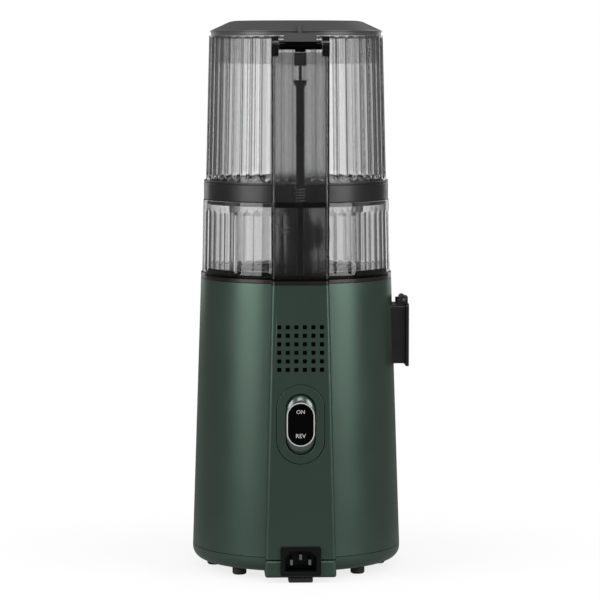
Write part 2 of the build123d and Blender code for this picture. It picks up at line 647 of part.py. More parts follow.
def drum_spine():
    bottom = DRUM_Z + REST_GAP
    top = SPINE_SPLIT
    shell = spine_block(bottom, top)
    shell -= spine_block(bottom + SPINE_WALL, top - SPINE_WALL, inset=SPINE_WALL, corner=PANEL_CORNER / 2)
    wall = lathe(
        (0, DRUM_Z - 1), (drum_radius(DRUM_Z) + REST_GAP, DRUM_Z - 1), (drum_radius(DRUM_Z) + REST_GAP, DRUM_Z),
        (drum_radius(DRUM_TOP) + REST_GAP, DRUM_TOP), (0, DRUM_TOP),
    )
    return shell - wall - disc(PLUNGER_RADIUS + SLIDING_FIT, bottom - 1, top + 1, y=ROD_Y)


def drum_plunger():
    top = ROD_BOTTOM - REST_GAP
    stem = disc(PLUNGER_RADIUS, PLUNGER_BOTTOM, top, y=ROD_Y)
    collar_bottom = DRUM_Z + SPINE_WALL + 2.0
    return stem + disc(PLUNGER_RADIUS + PLUNGER_LIP, collar_bottom, collar_bottom + 2.0, y=ROD_Y)


def drum_seal():
    outer = SOCKET_RADIUS + SLIDING_FIT + 3.0 - REST_GAP
    lip = SOCKET_RADIUS + SLIDING_FIT
    return tube(outer, lip, BOWL_BOTTOM, BOWL_FLOOR_TOP)


def strainer_frame():
    shell = tube(STRAINER_RADIUS, STRAINER_INNER, STRAINER_BOTTOM, STRAINER_TOP)
    floor_hole = AUGER_CORE_RADIUS - 6.0
    shell += tube(STRAINER_RADIUS, floor_hole, STRAINER_BOTTOM, STRAINER_BOTTOM + 2.0)
    low = STRAINER_BOTTOM + STRAINER_RING
    high = STRAINER_TOP - STRAINER_RING
    middle = (low + high) / 2
    pitch = 2 * math.pi * STRAINER_RADIUS / STRAINER_RIBS
    half = pitch * 0.36
    for z_range in ((low, middle - 1.2), (middle + 1.2, high)):
        window = block((STRAINER_INNER - 3, STRAINER_RADIUS + 3), (-half, half), z_range)
        for cut in around(window, STRAINER_RIBS, start=180 / STRAINER_RIBS):
            shell -= cut
    return shell - pulp_duct(clearance=REST_GAP)


def strainer_screen():
    outer = STRAINER_INNER - BOLTED_GAP
    screen = tube(outer, outer - SCREEN_WALL, STRAINER_BOTTOM + 2.0 + REST_GAP, STRAINER_TOP - 1.0)
    return screen - pulp_duct(clearance=REST_GAP)


def helical_flight(inner, outer, thickness, pitch, height):
    """Square-section flight that winds up from z = 0."""
    path = Helix(pitch, height, (inner + outer) / 2)
    section = Plane.XZ * Pos((inner + outer) / 2, 0) * Rectangle(outer - inner, thickness)
    return sweep(section, path=path, is_frenet=True)


def auger():
    bottom = STRAINER_BOTTOM + 2.0 + SLIDING_FIT
    neck_z = STRAINER_TOP - 2.0
    top = HOPPER_Z - 2.0
    skirt = 5.0
    core = lathe(
        (0, bottom), (AUGER_RADIUS - 6, bottom), (AUGER_CORE_RADIUS, bottom + skirt),
        (AUGER_NECK_RADIUS, neck_z), (AUGER_TOP_RADIUS, top - 6), (AUGER_TOP_RADIUS - 4, top), (0, top),
    )
    flight_height = neck_z - bottom - skirt - FLIGHT_THICKNESS
    flight = helical_flight(AUGER_NECK_RADIUS - 2, AUGER_RADIUS, FLIGHT_THICKNESS, FLIGHT_PITCH, flight_height)
    flight = Pos(0, 0, bottom + skirt) * flight
    wing_bottom = neck_z - 2.0
    wing_height = DRUM_TOP - wing_bottom - 2.0
    wing = helical_flight(AUGER_TOP_RADIUS - 3, WING_RADIUS, FLIGHT_THICKNESS, WING_PITCH, wing_height)
    wing = Pos(0, 0, wing_bottom) * wing
    socket_hole = disc(SOCKET_RADIUS - 2.0, bottom - 1, BOWL_BOTTOM + DRIVE_HEIGHT + 4)
    return core + flight + wing - socket_hole


def auger_socket():
    """Steel insert that slides down over the drive shaft's flats."""
    top = BOWL_BOTTOM + DRIVE_HEIGHT + 4
    bottom_of_auger = STRAINER_BOTTOM + 2.0 + SLIDING_FIT
    sleeve = disc(SOCKET_RADIUS, BOWL_BOTTOM + 1.0, bottom_of_auger) + disc(
        SOCKET_RADIUS - 2.0 - BOLTED_GAP, bottom_of_auger, top
    )
    hole_flats = DRIVE_FLATS + 0.5
    hexagon = RegularPolygon(hole_flats / 2, 6, major_radius=False)
    return sleeve - Pos(0, 0, BOWL_BOTTOM) * extrude(hexagon, DRIVE_HEIGHT - 1)


# ---- Body -------------------------------------------------------------------------------------------
def body_cone(bottom, top, inset):
    """The body's taper as a solid cone, set in by a wall."""
    return lathe(
        (0, bottom), (body_radius(bottom) - inset, bottom), (body_radius(top) - inset, top), (0, top)
    )


def screw_angles():
    return (22.5, 157.5, 202.5, 337.5)


def on_screw_circle(shape):
    """Copies of a shape that stands at (SCREW_CIRCLE, 0), at the four cover screws."""
    return [Rot(0, 0, angle) * shape for angle in screw_angles()]


def body_shell():
    outside = body_cone(SEAM_Z, BODY_TOP, 0) + panel_block(SEAM_Z, BODY_TOP, 0, PANEL_CORNER)
    inside = body_cone(SEAM_Z - 1, BODY_TOP + 1, BODY_WALL)
    inside += panel_block(SEAM_Z - 1, BODY_TOP + 1, BODY_WALL, 0)
    shell = outside - inside
    shell -= slot_block(SWITCH_PLATE_WIDTH + 0.2, SWITCH_PLATE_HEIGHT + 0.2, -20, 5, SWITCH_Z)
    shell -= rounded_block(INLET_BODY_WIDTH + 0.3, INLET_BODY_HEIGHT + 0.3, 1.0, -30, 5, INLET_Z)
    vent_outlines = GridLocations(VENT_PITCH, VENT_PITCH, VENT_ROWS, VENT_ROWS)
    vent_outlines *= RectangleRounded(VENT_SIZE, VENT_SIZE, VENT_CORNER)
    shell -= panel_plane(VENT_Z) * Pos(0, 0, -20) * extrude(Sketch() + vent_outlines, 25)
    shell -= pulp_window()
    shell -= juice_window()
    boss_top = SEAM_Z + BOSS_HEIGHT
    wall = body_radius(boss_top) - BODY_WALL
    boss = disc(BOSS_RADIUS, SEAM_Z, boss_top, x=SCREW_CIRCLE)
    boss += block((SCREW_CIRCLE, wall + 1), (-1.5, 1.5), (SEAM_Z, boss_top))
    boss -= disc(SCREW_RADIUS, SEAM_Z - 1, boss_top - 3, x=SCREW_CIRCLE)
    for copy in on_screw_circle(boss):
        shell += copy
    return shell


def pulp_window():
    half = PULP_WIDTH / 2 + 0.2
    return block((-100, -WELL_RADIUS + 10), (-half, half), (PULP_BOTTOM_Z - 0.2, PULP_TOP_Z + 0.2))


def juice_window():
    half = JUICE_WIDTH / 2 + 0.2
    return block((-half, half), (-110, -WELL_RADIUS + 10), (JUICE_BOTTOM_Z - 0.2, JUICE_TOP_Z + 0.2))


def panel_toe(side):
    """What rounds off one bottom corner of the back panel."""
    top = PANEL_BOTTOM_Z + PANEL_TOE
    edge = panel_width(top) / 2
    x_range = sorted((side * (edge - PANEL_TOE), side * (edge + 2)))
    corner = block(x_range, (0, 2 * PANEL_BOTTOM_FACE), (PANEL_BOTTOM_Z - 1, top))
    return corner - rod_along_y(PANEL_TOE, (-1, 2 * PANEL_BOTTOM_FACE + 1), side * (edge - PANEL_TOE), top)


def base_cover():
    lip_top = SEAM_Z + 4.0
    lip_outer = body_radius(lip_top) - BODY_WALL - SLIDING_FIT
    rim = SEAM_Z - SEAM_GAP
    outside = disc(BODY_BOTTOM_RADIUS, FOOT_HEIGHT, rim)
    edge = outside.edges().filter_by(GeomType.CIRCLE).sort_by(Axis.Z)[0]
    outside = fillet(edge, 0.76 * BASE_COVER_HEIGHT)
    panel_floor = FOOT_HEIGHT + COVER_WALL
    panel = panel_block(PANEL_BOTTOM_Z, rim, 0, PANEL_CORNER)
    for side in (-1, 1):
        panel -= panel_toe(side)
    outside += panel - disc(BODY_BOTTOM_RADIUS - 14, 0, SEAM_Z + 1)
    inside = disc(BODY_BOTTOM_RADIUS - 9, FOOT_HEIGHT + COVER_WALL, SEAM_Z + 5)
    inside += lathe(
        (0, FOOT_HEIGHT + 5), (lip_outer - 2.2 - 4, FOOT_HEIGHT + 5), (lip_outer - 2.2, SEAM_Z - 4),
        (lip_outer - 2.2, SEAM_Z + 5), (0, SEAM_Z + 5),
    )
    hollow = panel_block(PANEL_BOTTOM_Z + COVER_WALL, SEAM_Z + 5, COVER_WALL, 0)
    inside += hollow - disc(BODY_BOTTOM_RADIUS - 14 + COVER_WALL, 0, panel_floor)
    lip = tube(lip_outer, lip_outer - 2.2, SEAM_Z - 4, lip_top)
    lip -= panel_block(SEAM_Z - 4, SEAM_Z + 5, COVER_WALL, 0)
    boss_space = disc(BOSS_RADIUS + 1, SEAM_Z - 1, lip_top + 1, x=SCREW_CIRCLE)
    boss_space += block((SCREW_CIRCLE, BODY_BOTTOM_RADIUS), (-2.0, 2.0), (SEAM_Z - 1, lip_top + 1))
    for cut in on_screw_circle(boss_space):
        lip -= cut
    cover = outside - inside + lip
    post = disc(BOSS_RADIUS, FOOT_HEIGHT + 1, SEAM_Z, x=SCREW_CIRCLE)
    for copy in on_screw_circle(post):
        cover += copy
    for cut in on_screw_circle(screw_space()):
        cover -= cut
    cover -= rounded_block(INLET_BODY_WIDTH + 0.3, INLET_BODY_HEIGHT + 0.3, 1.0, -30, 5, INLET_Z)
    for angle in foot_angles():
        cover -= Rot(0, 0, angle) * disc(FOOT_RADIUS, FOOT_HEIGHT - 1, FOOT_HEIGHT + FOOT_SEAT, x=FOOT_CIRCLE)
    air_slot = (FAN_RADIUS * 0.55, FAN_RADIUS * 1.15)
    slot = block(air_slot, (-1.6, 1.6), (FOOT_HEIGHT - 1, FOOT_HEIGHT + COVER_WALL + 1))
    for cut in around(slot, 2 * FAN_BLADES):
        cover -= cut
    for side in (-1, 1):
        x = side * BOARD_WIDTH / 2 * 0.8
        post = block((x - 2, x + 2), (BOARD_Y - 4, BOARD_Y + 4), (FOOT_HEIGHT + 1, BOARD_BOTTOM + 5))
        groove = block((x - 3, x + 3), (BOARD_Y - 1, BOARD_Y + 1), (BOARD_BOTTOM, BOARD_BOTTOM + 6))
        cover += post - groove
    return cover


def screw_space():
    """Countersunk way for one cover screw."""
    head_z = FOOT_HEIGHT + 3.0
    space = disc(SCREW_RADIUS + 0.3, head_z - 1, SEAM_Z + 1, x=SCREW_CIRCLE)
    return space + disc(SCREW_RADIUS * 2 + 0.3, FOOT_HEIGHT - 2, head_z, x=SCREW_CIRCLE)


def cover_screws():
    head_z = FOOT_HEIGHT + 3.0
    screw = disc(SCREW_RADIUS, head_z - 0.5, head_z + SCREW_LENGTH, x=SCREW_CIRCLE)
    screw += disc(SCREW_RADIUS * 2, head_z - 2.0, head_z, x=SCREW_CIRCLE)
    return Compound(children=on_screw_circle(screw))


def foot_angles():
    return (0, 45, 135, 180, 225, 315)


def rubber_feet():
    """Round feet, and the flat pad under the back panel."""
    foot = disc(FOOT_RADIUS, 0, FOOT_HEIGHT + FOOT_SEAT, x=FOOT_CIRCLE)
    foot = chamfer(foot.edges().filter_by(GeomType.CIRCLE).sort_by(Axis.Z)[0], 1.0)
    half = REAR_FOOT_WIDTH / 2
    outer = PANEL_BOTTOM_FACE - 1.5
    pad = block((-half, half), (outer - REAR_FOOT_DEPTH, outer), (0, PANEL_BOTTOM_Z))
    pad = chamfer(pad.faces().sort_by(Axis.Z)[0].edges(), 0.8)
    return Compound(children=[Rot(0, 0, angle) * foot for angle in foot_angles()] + [pad])


def outline_ring(radius, inner, inset, bottom, top):
    """Ring that follows the body's outline with the spine's tab."""
    ring = disc(radius, bottom, top) + spine_block(bottom, top, inset=inset)
    return ring - disc(inner, bottom - 1, top + 1)


def trim_ring():
    ring = outline_ring(TRIM_RING_RADIUS, WELL_RADIUS, 0.1, TRIM_Z, DRUM_Z)
    return ring - disc(PLUNGER_RADIUS + SLIDING_FIT, TRIM_Z - 1, DRUM_Z + 1, y=ROD_Y)


def bowl_seat():
    """Deck and well that carry the drum, with posts for the gearbox underneath."""
    lip = outline_ring(TRIM_RING_RADIUS - 0.5, WELL_RADIUS, 0.6, BODY_TOP, TRIM_Z)
    spigot_radius = body_radius(BODY_TOP - 6) - BODY_WALL - SLIDING_FIT
    spigot = outline_ring(spigot_radius, WELL_RADIUS, BODY_WALL + SLIDING_FIT, BODY_TOP - 6, BODY_TOP)
    well = tube(WELL_RADIUS + WELL_WALL, WELL_RADIUS, WELL_FLOOR_BOTTOM, BODY_TOP)
    floor = tube(WELL_RADIUS + 1, SEAL_RADIUS, WELL_FLOOR_BOTTOM, WELL_FLOOR_TOP)
    seat = lip + spigot + well + floor
    post_bottom = GEARBOX_COVER_TOP + DAMPER_HEIGHT
    post = disc(DAMPER_RADIUS, post_bottom, WELL_FLOOR_BOTTOM + 0.5, x=DAMPER_CIRCLE)
    for copy in around(post, 4, start=45):
        seat += copy
    mount = block((-8, 8), (WELL_RADIUS + 1, ROD_Y - 4), (PLUNGER_BOTTOM - 14, BODY_TOP - 5))
    seat += mount
    seat -= disc(PLUNGER_RADIUS + SLIDING_FIT + 0.2, BODY_TOP - 8, TRIM_Z + 1, y=ROD_Y)
    return seat - pulp_window() - juice_window()


def shaft_seal():
    lip = OUTPUT_SHAFT_RADIUS - 0.5 + RUNNING_FIT
    body = tube(SEAL_RADIUS, lip, WELL_FLOOR_BOTTOM, WELL_FLOOR_TOP)
    return body + tube(SEAL_RADIUS + 2.0, lip, WELL_FLOOR_TOP, WELL_FLOOR_TOP + 1.2)


# ---- Spouts -----------------------------------------------------------------------------------------
def pulp_spout():
    half = PULP_WIDTH / 2
    outer = block((-PULP_REACH, -WELL_RADIUS), (-half, half), (PULP_BOTTOM_Z, PULP_TOP_Z))
    outer = fillet(outer.edges().filter_by(Axis.X), 2.0)
    spout = outer - disc(WELL_RADIUS + SLIDING_FIT, PULP_BOTTOM_Z - 1, PULP_TOP_Z + 1)
    spout -= block(
        (-PULP_REACH - 1, 0), (-half + SPOUT_WALL, half - SPOUT_WALL),
        (PULP_BOTTOM_Z + SPOUT_WALL, PULP_TOP_Z - SPOUT_WALL),
    )
    for side in (-1, 1):
        span = sorted((side * half * 0.8, side * half * 0.45))
        base_x = (PULP_HINGE_X - FLAP_KNUCKLE_RADIUS, PULP_HINGE_X + 5)
        base = block(base_x, span, (PULP_TOP_Z - 1, PULP_HINGE_Z))
        knuckle = rod_along_y(FLAP_KNUCKLE_RADIUS, span, PULP_HINGE_X, PULP_HINGE_Z)
        spout += (base & block((-PULP_REACH, 0), span, (0, PULP_HINGE_Z))) + knuckle
    return spout - rod_along_y(FLAP_PIN_RADIUS, (-half, half), PULP_HINGE_X, PULP_HINGE_Z)


def pulp_flap():
    half = PULP_WIDTH / 2 + PULP_FLAP_MARGIN
    outer = -PULP_REACH - REST_GAP
    z_range = (PULP_BOTTOM_Z - PULP_FLAP_MARGIN, PULP_HINGE_Z - FLAP_KNUCKLE_RADIUS - 0.2)
    plate = block((outer - PULP_FLAP_THICKNESS, outer), (-half, half), z_range)
    plate = fillet(plate.edges().filter_by(Axis.X), 3.0)
    knuckle_half = PULP_WIDTH / 2 * 0.45 - SLIDING_FIT
    knuckle = rod_along_y(FLAP_KNUCKLE_RADIUS, (-knuckle_half, knuckle_half), PULP_HINGE_X, PULP_HINGE_Z)
    strap = block(
        (outer - PULP_FLAP_THICKNESS, PULP_HINGE_X), (-knuckle_half, knuckle_half),
        (z_range[1] - 1, PULP_HINGE_Z + FLAP_KNUCKLE_RADIUS * 0.7),
    )
    strap &= block((-200, 0), (-50, 50), (PULP_TOP_Z + 0.3, 400))
    return plate + knuckle + strap - rod_along_y(
        FLAP_PIN_RADIUS + RUNNING_FIT, (-half, half), PULP_HINGE_X, PULP_HINGE_Z
    )


def juice_spout():
    half = JUICE_WIDTH / 2
    outer = block((-half, half), (-JUICE_REACH, -WELL_RADIUS), (JUICE_BOTTOM_Z, JUICE_TOP_Z))
    outer = fillet(outer.edges().filter_by(Axis.Y), JUICE_CORNER)
    outer -= disc(WELL_RADIUS + SLIDING_FIT, JUICE_BOTTOM_Z - 1, JUICE_TOP_Z + 1)
    channel = block(
        (-half + SPOUT_WALL, half - SPOUT_WALL), (-JUICE_REACH + SPOUT_WALL, 0),
        (JUICE_BOTTOM_Z + SPOUT_WALL, JUICE_TOP_Z - SPOUT_WALL),
    )
    channel = fillet(channel.edges().filter_by(Axis.Y), JUICE_CORNER - SPOUT_WALL)
    mouth = block(
        (-half + SPOUT_WALL + 2, half - SPOUT_WALL - 2),
        (-JUICE_REACH + SPOUT_WALL, -JUICE_REACH + SPOUT_WALL + JUICE_MOUTH),
        (JUICE_BOTTOM_Z - 5, JUICE_TOP_Z - 8),
    )
    spout = outer - channel - mouth
    for side in (-1, 1):
        span = sorted((side * half * 0.85, side * half * 0.5))
        base = block(span, (JUICE_HINGE_Y - 2, JUICE_HINGE_Y + 6), (JUICE_TOP_Z - 1.5, JUICE_HINGE_Z))
        knuckle = rod_along_x(FLAP_KNUCKLE_RADIUS, span, JUICE_HINGE_Y, JUICE_HINGE_Z)
        spout += base + knuckle
    return spout - rod_along_x(FLAP_PIN_RADIUS, (-half, half), JUICE_HINGE_Y, JUICE_HINGE_Z)


def juice_cap():
    """Drip cap: a front plate and a foot that closes the spout's mouth from below."""
    half = JUICE_WIDTH / 2 + 1.0
    face = -JUICE_REACH - 0.3
    foot_top = JUICE_BOTTOM_Z - 0.3
    foot_bottom = foot_top - JUICE_CAP_THICKNESS
    front = block((-half, half), (face - JUICE_CAP_THICKNESS, face), (foot_bottom, JUICE_HINGE_Z))
    foot = block((-half, half), (face - JUICE_CAP_THICKNESS, face + JUICE_MOUTH + 6), (foot_bottom, foot_top))
    cap = front + foot
    cap = fillet(cap.edges().filter_by(Axis.X).group_by(Axis.Z)[0].sort_by(Axis.Y)[0], 2.0)
    knuckle_half = JUICE_WIDTH / 2 * 0.5 - SLIDING_FIT
    knuckle = rod_along_x(FLAP_KNUCKLE_RADIUS, (-knuckle_half, knuckle_half), JUICE_HINGE_Y, JUICE_HINGE_Z)
    strap = block(
        (-knuckle_half, knuckle_half), (face - JUICE_CAP_THICKNESS, JUICE_HINGE_Y),
        (JUICE_HINGE_Z - 0.8, JUICE_HINGE_Z + FLAP_KNUCKLE_RADIUS),
    )
    return cap + knuckle + strap - rod_along_x(
        FLAP_PIN_RADIUS + RUNNING_FIT, (-half, half), JUICE_HINGE_Y, JUICE_HINGE_Z
    )


def flap_pins():
    pulp_half = PULP_WIDTH / 2 * 0.8
    juice_half = JUICE_WIDTH / 2 * 0.85
    pulp_pin = rod_along_y(FLAP_PIN_RADIUS, (-pulp_half, pulp_half), PULP_HINGE_X, PULP_HINGE_Z)
    juice_pin = rod_along_x(FLAP_PIN_RADIUS, (-juice_half, juice_half), JUICE_HINGE_Y, JUICE_HINGE_Z)
    return Compound(children=[pulp_pin, juice_pin])


# ---- Switch -----------------------------------------------------------------------------------------
def switch_plate():
    plate = slot_block(SWITCH_PLATE_WIDTH, SWITCH_PLATE_HEIGHT, -SWITCH_PLATE_THICKNESS, 0.3, SWITCH_Z)
    wall = 2 * SWITCH_WELL_WALL
    bezel = slot_block(SWITCH_WELL_WIDTH + wall, SWITCH_WELL_HEIGHT + wall, -SWITCH_WELL_DEPTH, 0, SWITCH_Z)
    well = slot_block(SWITCH_WELL_WIDTH, SWITCH_WELL_HEIGHT, -SWITCH_WELL_DEPTH - 1, 2, SWITCH_Z)
    return plate + bezel - well - rocker_axle(ROCKER_PIN_RADIUS, SWITCH_WELL_WIDTH / 2 + SWITCH_WELL_WALL - 0.4)


def rocker_axle(radius, reach):
    """Cylinder on the rocker's pivot axis."""
    axle = Pos(-reach, 0, -ROCKER_PIVOT_DEPTH) * Rot(0, 90, 0) * Cylinder(radius, 2 * reach, align=ON_BASE)
    return panel_plane(SWITCH_Z) * axle


def rocker_pin():
    return rocker_axle(ROCKER_PIN_RADIUS, SWITCH_WELL_WIDTH / 2 + SWITCH_WELL_WALL - 0.4)


def rocker_button():
    outline = SlotOverall(ROCKER_HEIGHT, ROCKER_WIDTH, rotation=90)
    key = Pos(0, 0, -ROCKER_DEPTH) * extrude(outline, ROCKER_DEPTH + 0.9)
    key = chamfer(key.faces().sort_by(Axis.Z)[-1].edges(), 1.4)
    pocket = SlotOverall(RING_HEIGHT + 0.1, RING_WIDTH + 0.1, rotation=90)
    key -= Pos(0, 0, -0.6) * extrude(pocket, 3)
    return panel_plane(SWITCH_Z) * key - rocker_axle(ROCKER_PIN_RADIUS + RUNNING_FIT, ROCKER_WIDTH)


def rocker_face():
    return slot_block(ROCKER_FACE_WIDTH - 0.05, ROCKER_FACE_HEIGHT - 0.05, -0.6, 0.9, SWITCH_Z)


def rocker_ring():
    ring = slot_block(RING_WIDTH, RING_HEIGHT, -0.6, 1.1, SWITCH_Z)
    return ring - slot_block(ROCKER_FACE_WIDTH, ROCKER_FACE_HEIGHT, -2, 3, SWITCH_Z)


def switch_module():
    """Contact block behind the rocker."""
    front = -SWITCH_WELL_DEPTH
    body = rounded_block(
        SWITCH_MODULE_WIDTH, SWITCH_MODULE_HEIGHT, 1.0, front - SWITCH_MODULE_DEPTH, front, SWITCH_Z
    )
    clip_width = SWITCH_WELL_WIDTH + 2 * SWITCH_WELL_WALL - 0.6
    return body + rounded_block(clip_width, SWITCH_CLIP_HEIGHT, 1.0, front - SWITCH_CLIP_DEPTH, front, SWITCH_Z)


# ---- Mains inlet ------------------------------------------------------------------------------------
def inlet_housing():
    flange = rounded_block(INLET_WIDTH, INLET_HEIGHT, 1.5, 0, INLET_FLANGE, INLET_Z)
    body = rounded_block(INLET_BODY_WIDTH, INLET_BODY_HEIGHT, 1.0, -INLET_BODY_DEPTH, 0.5, INLET_Z)
    depth = INLET_SOCKET_DEPTH
    half_w = INLET_SOCKET_WIDTH / 2
    half_h = INLET_SOCKET_HEIGHT / 2
    slope = INLET_SOCKET_BEVEL
    outline = Polyline(
        (-half_w, -half_h), (half_w, -half_h), (half_w, half_h - slope), (half_w - slope, half_h),
        (slope - half_w, half_h), (-half_w, half_h - slope), close=True,
    )
    socket = Pos(0, 0, -depth) * extrude(make_face(outline), depth + 10)
    return flange + body - panel_plane(INLET_Z) * socket


def inlet_pins():
    pins = []
    outer_y = -INLET_EARTH_RISE / 3
    for x, y in ((-INLET_PIN_SPACING, outer_y), (0, outer_y + INLET_EARTH_RISE), (INLET_PIN_SPACING, outer_y)):
        section = Rectangle(INLET_PIN_WIDTH, INLET_PIN_HEIGHT)
        pin = Pos(x, y, -INLET_SOCKET_DEPTH) * extrude(section, INLET_SOCKET_DEPTH - INLET_PIN_RECESS)
        pins.append(panel_plane(INLET_Z) * pin)
    return Compound(children=pins)


# ---- Motor ------------------------------------------------------------------------------------------
def motor_stator():
    core = tube(STATOR_RADIUS, STATOR_BORE, STATOR_BOTTOM, STATOR_TOP)
    slot = block((STATOR_BORE - 2, STATOR_RADIUS - 8), (-2.5, 2.5), (STATOR_BOTTOM - 1, STATOR_TOP + 1))
    for cut in around(slot, STATOR_SLOTS):
        core -= cut
    return core


def stator_windings():
    """Two coil heads, joined by the conductors that lie in the stator's slots."""
    outer = STATOR_RADIUS - 6.0
    inner = STATOR_BORE + 2.0
    overhang = WINDING_OVERHANG - 1.5
    heads = tube(outer, inner, STATOR_TOP + 0.05, STATOR_TOP + overhang)
    heads += tube(outer, inner, STATOR_BOTTOM - overhang, STATOR_BOTTOM - 0.05)
    bar = block((inner + 0.5, STATOR_RADIUS - 8.5), (-2.2, 2.2), (STATOR_BOTTOM - 1, STATOR_TOP + 1))
    for copy in around(bar, STATOR_SLOTS):
        heads += copy
    return heads


def motor_bell(bottom, top, skirt_range, bearing_range):
    """Motor end plate with a skirt against the stator and a bearing seat."""
    bell = disc(STATOR_RADIUS, bottom, top) + tube(STATOR_RADIUS, STATOR_RADIUS - 4.0, *skirt_range)
    bell += disc(MOTOR_BEARING_RADIUS + 3.0, bearing_range[0], bearing_range[1])
    bell -= disc(MOTOR_BEARING_RADIUS, bearing_range[0] + 1.0, bearing_range[1] + 1)
    return bell - disc(MOTOR_SHAFT_RADIUS + 1.5, bottom - 20, top + 20)


def bell_vents():
    """Air slots through an end plate."""
    return around(block((MOTOR_BEARING_RADIUS + 6, STATOR_RADIUS - 7), (-2, 2), (0, 400)), 8, start=22.5)


def motor_lower_bell():
    skirt = (LOWER_BELL_TOP - 0.5, STATOR_BOTTOM)
    seat = (LOWER_BELL_BOTTOM, LOWER_BELL_BOTTOM + 1.0 + MOTOR_BEARING_HEIGHT)
    bell = motor_bell(LOWER_BELL_BOTTOM, LOWER_BELL_TOP, skirt, seat)
    for cut in bell_vents():
        bell -= cut
    return bell


def motor_upper_bell():
    skirt = (STATOR_TOP, UPPER_BELL_BOTTOM + 0.5)
    seat_bottom = UPPER_BELL_BOTTOM - 4.0
    bell = disc(STATOR_RADIUS, UPPER_BELL_BOTTOM, GEARBOX_BOTTOM)
    bell += tube(STATOR_RADIUS, STATOR_RADIUS - 4.0, *skirt)
    bell += disc(MOTOR_BEARING_RADIUS + 3.0, seat_bottom, UPPER_BELL_BOTTOM + 1)
    bell -= disc(MOTOR_BEARING_RADIUS, seat_bottom - 1, seat_bottom + MOTOR_BEARING_HEIGHT)
    return bell - disc(MOTOR_SHAFT_RADIUS + 1.5, seat_bottom - 1, GEARBOX_BOTTOM + 1)


def motor_bearings():
    lower = LOWER_BELL_BOTTOM + 1.0
    upper = UPPER_BELL_BOTTOM - 4.0
    ring = MOTOR_SHAFT_RADIUS + RUNNING_FIT
    bearings = []
    for bottom in (lower, upper):
        bearing = tube(MOTOR_BEARING_RADIUS - BOLTED_GAP, ring, bottom, bottom + MOTOR_BEARING_HEIGHT)
        groove = (MOTOR_BEARING_RADIUS + ring) / 2
        for z in (bottom - 1, bottom + MOTOR_BEARING_HEIGHT - 0.8):
            bearing -= tube(groove + 1.6, groove - 1.6, z, z + 1.8)
        bearings.append(bearing)
    return Compound(children=bearings)


def motor_rotor():
    return tube(ROTOR_RADIUS, MOTOR_SHAFT_RADIUS + BOLTED_GAP, STATOR_BOTTOM, STATOR_TOP)


def motor_shaft():
    pinion = Pos(0, 0, FIRST_GEAR_BOTTOM) * extrude(gear_outline(SUN_TEETH, 0), GEAR_WIDTH)
    return pinion + disc(MOTOR_SHAFT_RADIUS, FAN_BOTTOM - 2, FIRST_GEAR_BOTTOM + 1)


def motor_fan():
    hub = tube(9.0, MOTOR_SHAFT_RADIUS + BOLTED_GAP, FAN_BOTTOM, FAN_TOP)
    disc_top = FAN_TOP - FAN_HEIGHT + 1.5
    fan = hub + tube(FAN_RADIUS, 8.0, FAN_BOTTOM, disc_top)
    blade = block((8.5, FAN_RADIUS - 0.5), (-0.8, 0.8), (FAN_BOTTOM + 0.5, FAN_TOP - 0.5))
    for copy in around(blade, FAN_BLADES):
        fan += copy
    return fan


# ---- Gears ------------------------------------------------------------------------------------------
def involute_point(base_radius, radius):
    """Polar angle of an involute from its start on the base circle to a radius."""
    if radius <= base_radius:
        return 0.0
    pressure = math.acos(base_radius / radius)
    return math.tan(pressure) - pressure


def gear_outline(teeth, phase, internal=False):
    """Face of a gear with one tooth centred at the phase angle, in degrees. The flanks are short chords."""
    pitch_radius = GEAR_MODULE * teeth / 2
    base_radius = pitch_radius * math.cos(math.radians(PRESSURE_ANGLE))
    sign = -1 if internal else 1
    inner = pitch_radius - GEAR_MODULE * (0.95 if internal else 1.25)
    outer = pitch_radius + GEAR_MODULE * (1.25 if internal else 0.95)
    half_tooth = math.pi / teeth / 2 - sign * GEAR_BACKLASH / 2 / pitch_radius
    pitch_roll = involute_point(base_radius, pitch_radius)
    levels = [inner, max(inner, base_radius) + FLANK_START, pitch_radius, outer]
    flank = []
    for radius in levels:
        roll = involute_point(base_radius, radius) - pitch_roll
        flank.append((radius, half_tooth - roll))
    points = []
    for i in range(teeth):
        centre = math.radians(phase) + 2 * math.pi * i / teeth
        if internal:
            centre += math.pi / teeth
        for radius, half in flank:
            points.append((radius * math.cos(centre - half), radius * math.sin(centre - half)))
        for radius, half in reversed(flank):
            points.append((radius * math.cos(centre + half), radius * math.sin(centre + half)))
    return make_face(Polyline(*points, close=True))


def planet_place(index):
    angle = math.radians(360 * index / PLANET_COUNT)
    return PLANET_CIRCLE * math.cos(angle), PLANET_CIRCLE * math.sin(angle)


def planet(index, bottom):
    """One planet gear with its bore, meshed with the sun and the ring at rest."""
    x, y = planet_place(index)
    phase = 360 * index / PLANET_COUNT + 180 - 180 / PLANET_TEETH
    gear = extrude(gear_outline(PLANET_TEETH, phase), GEAR_WIDTH)
    gear -= Cylinder(PLANET_PIN_RADIUS + RUNNING_FIT, 3 * GEAR_WIDTH)
    return Pos(x, y, bottom) * gear


def carrier_pins(gear_bottom, plate_bottom):
    x, y = planet_place(0)
    pin = disc(PLANET_PIN_RADIUS, gear_bottom, plate_bottom + 1, x=x, y=y)
    return around(pin, PLANET_COUNT)


def first_carrier():
    plate = disc(CARRIER_RADIUS, FIRST_CARRIER_BOTTOM, FIRST_CARRIER_TOP)
    for pin in carrier_pins(FIRST_GEAR_BOTTOM, FIRST_CARRIER_BOTTOM):
        plate += pin
    sun = Pos(0, 0, FIRST_CARRIER_TOP - 0.5) * extrude(gear_outline(SUN_TEETH, 0), GEAR_WIDTH + STAGE_GAP)
    return plate + sun


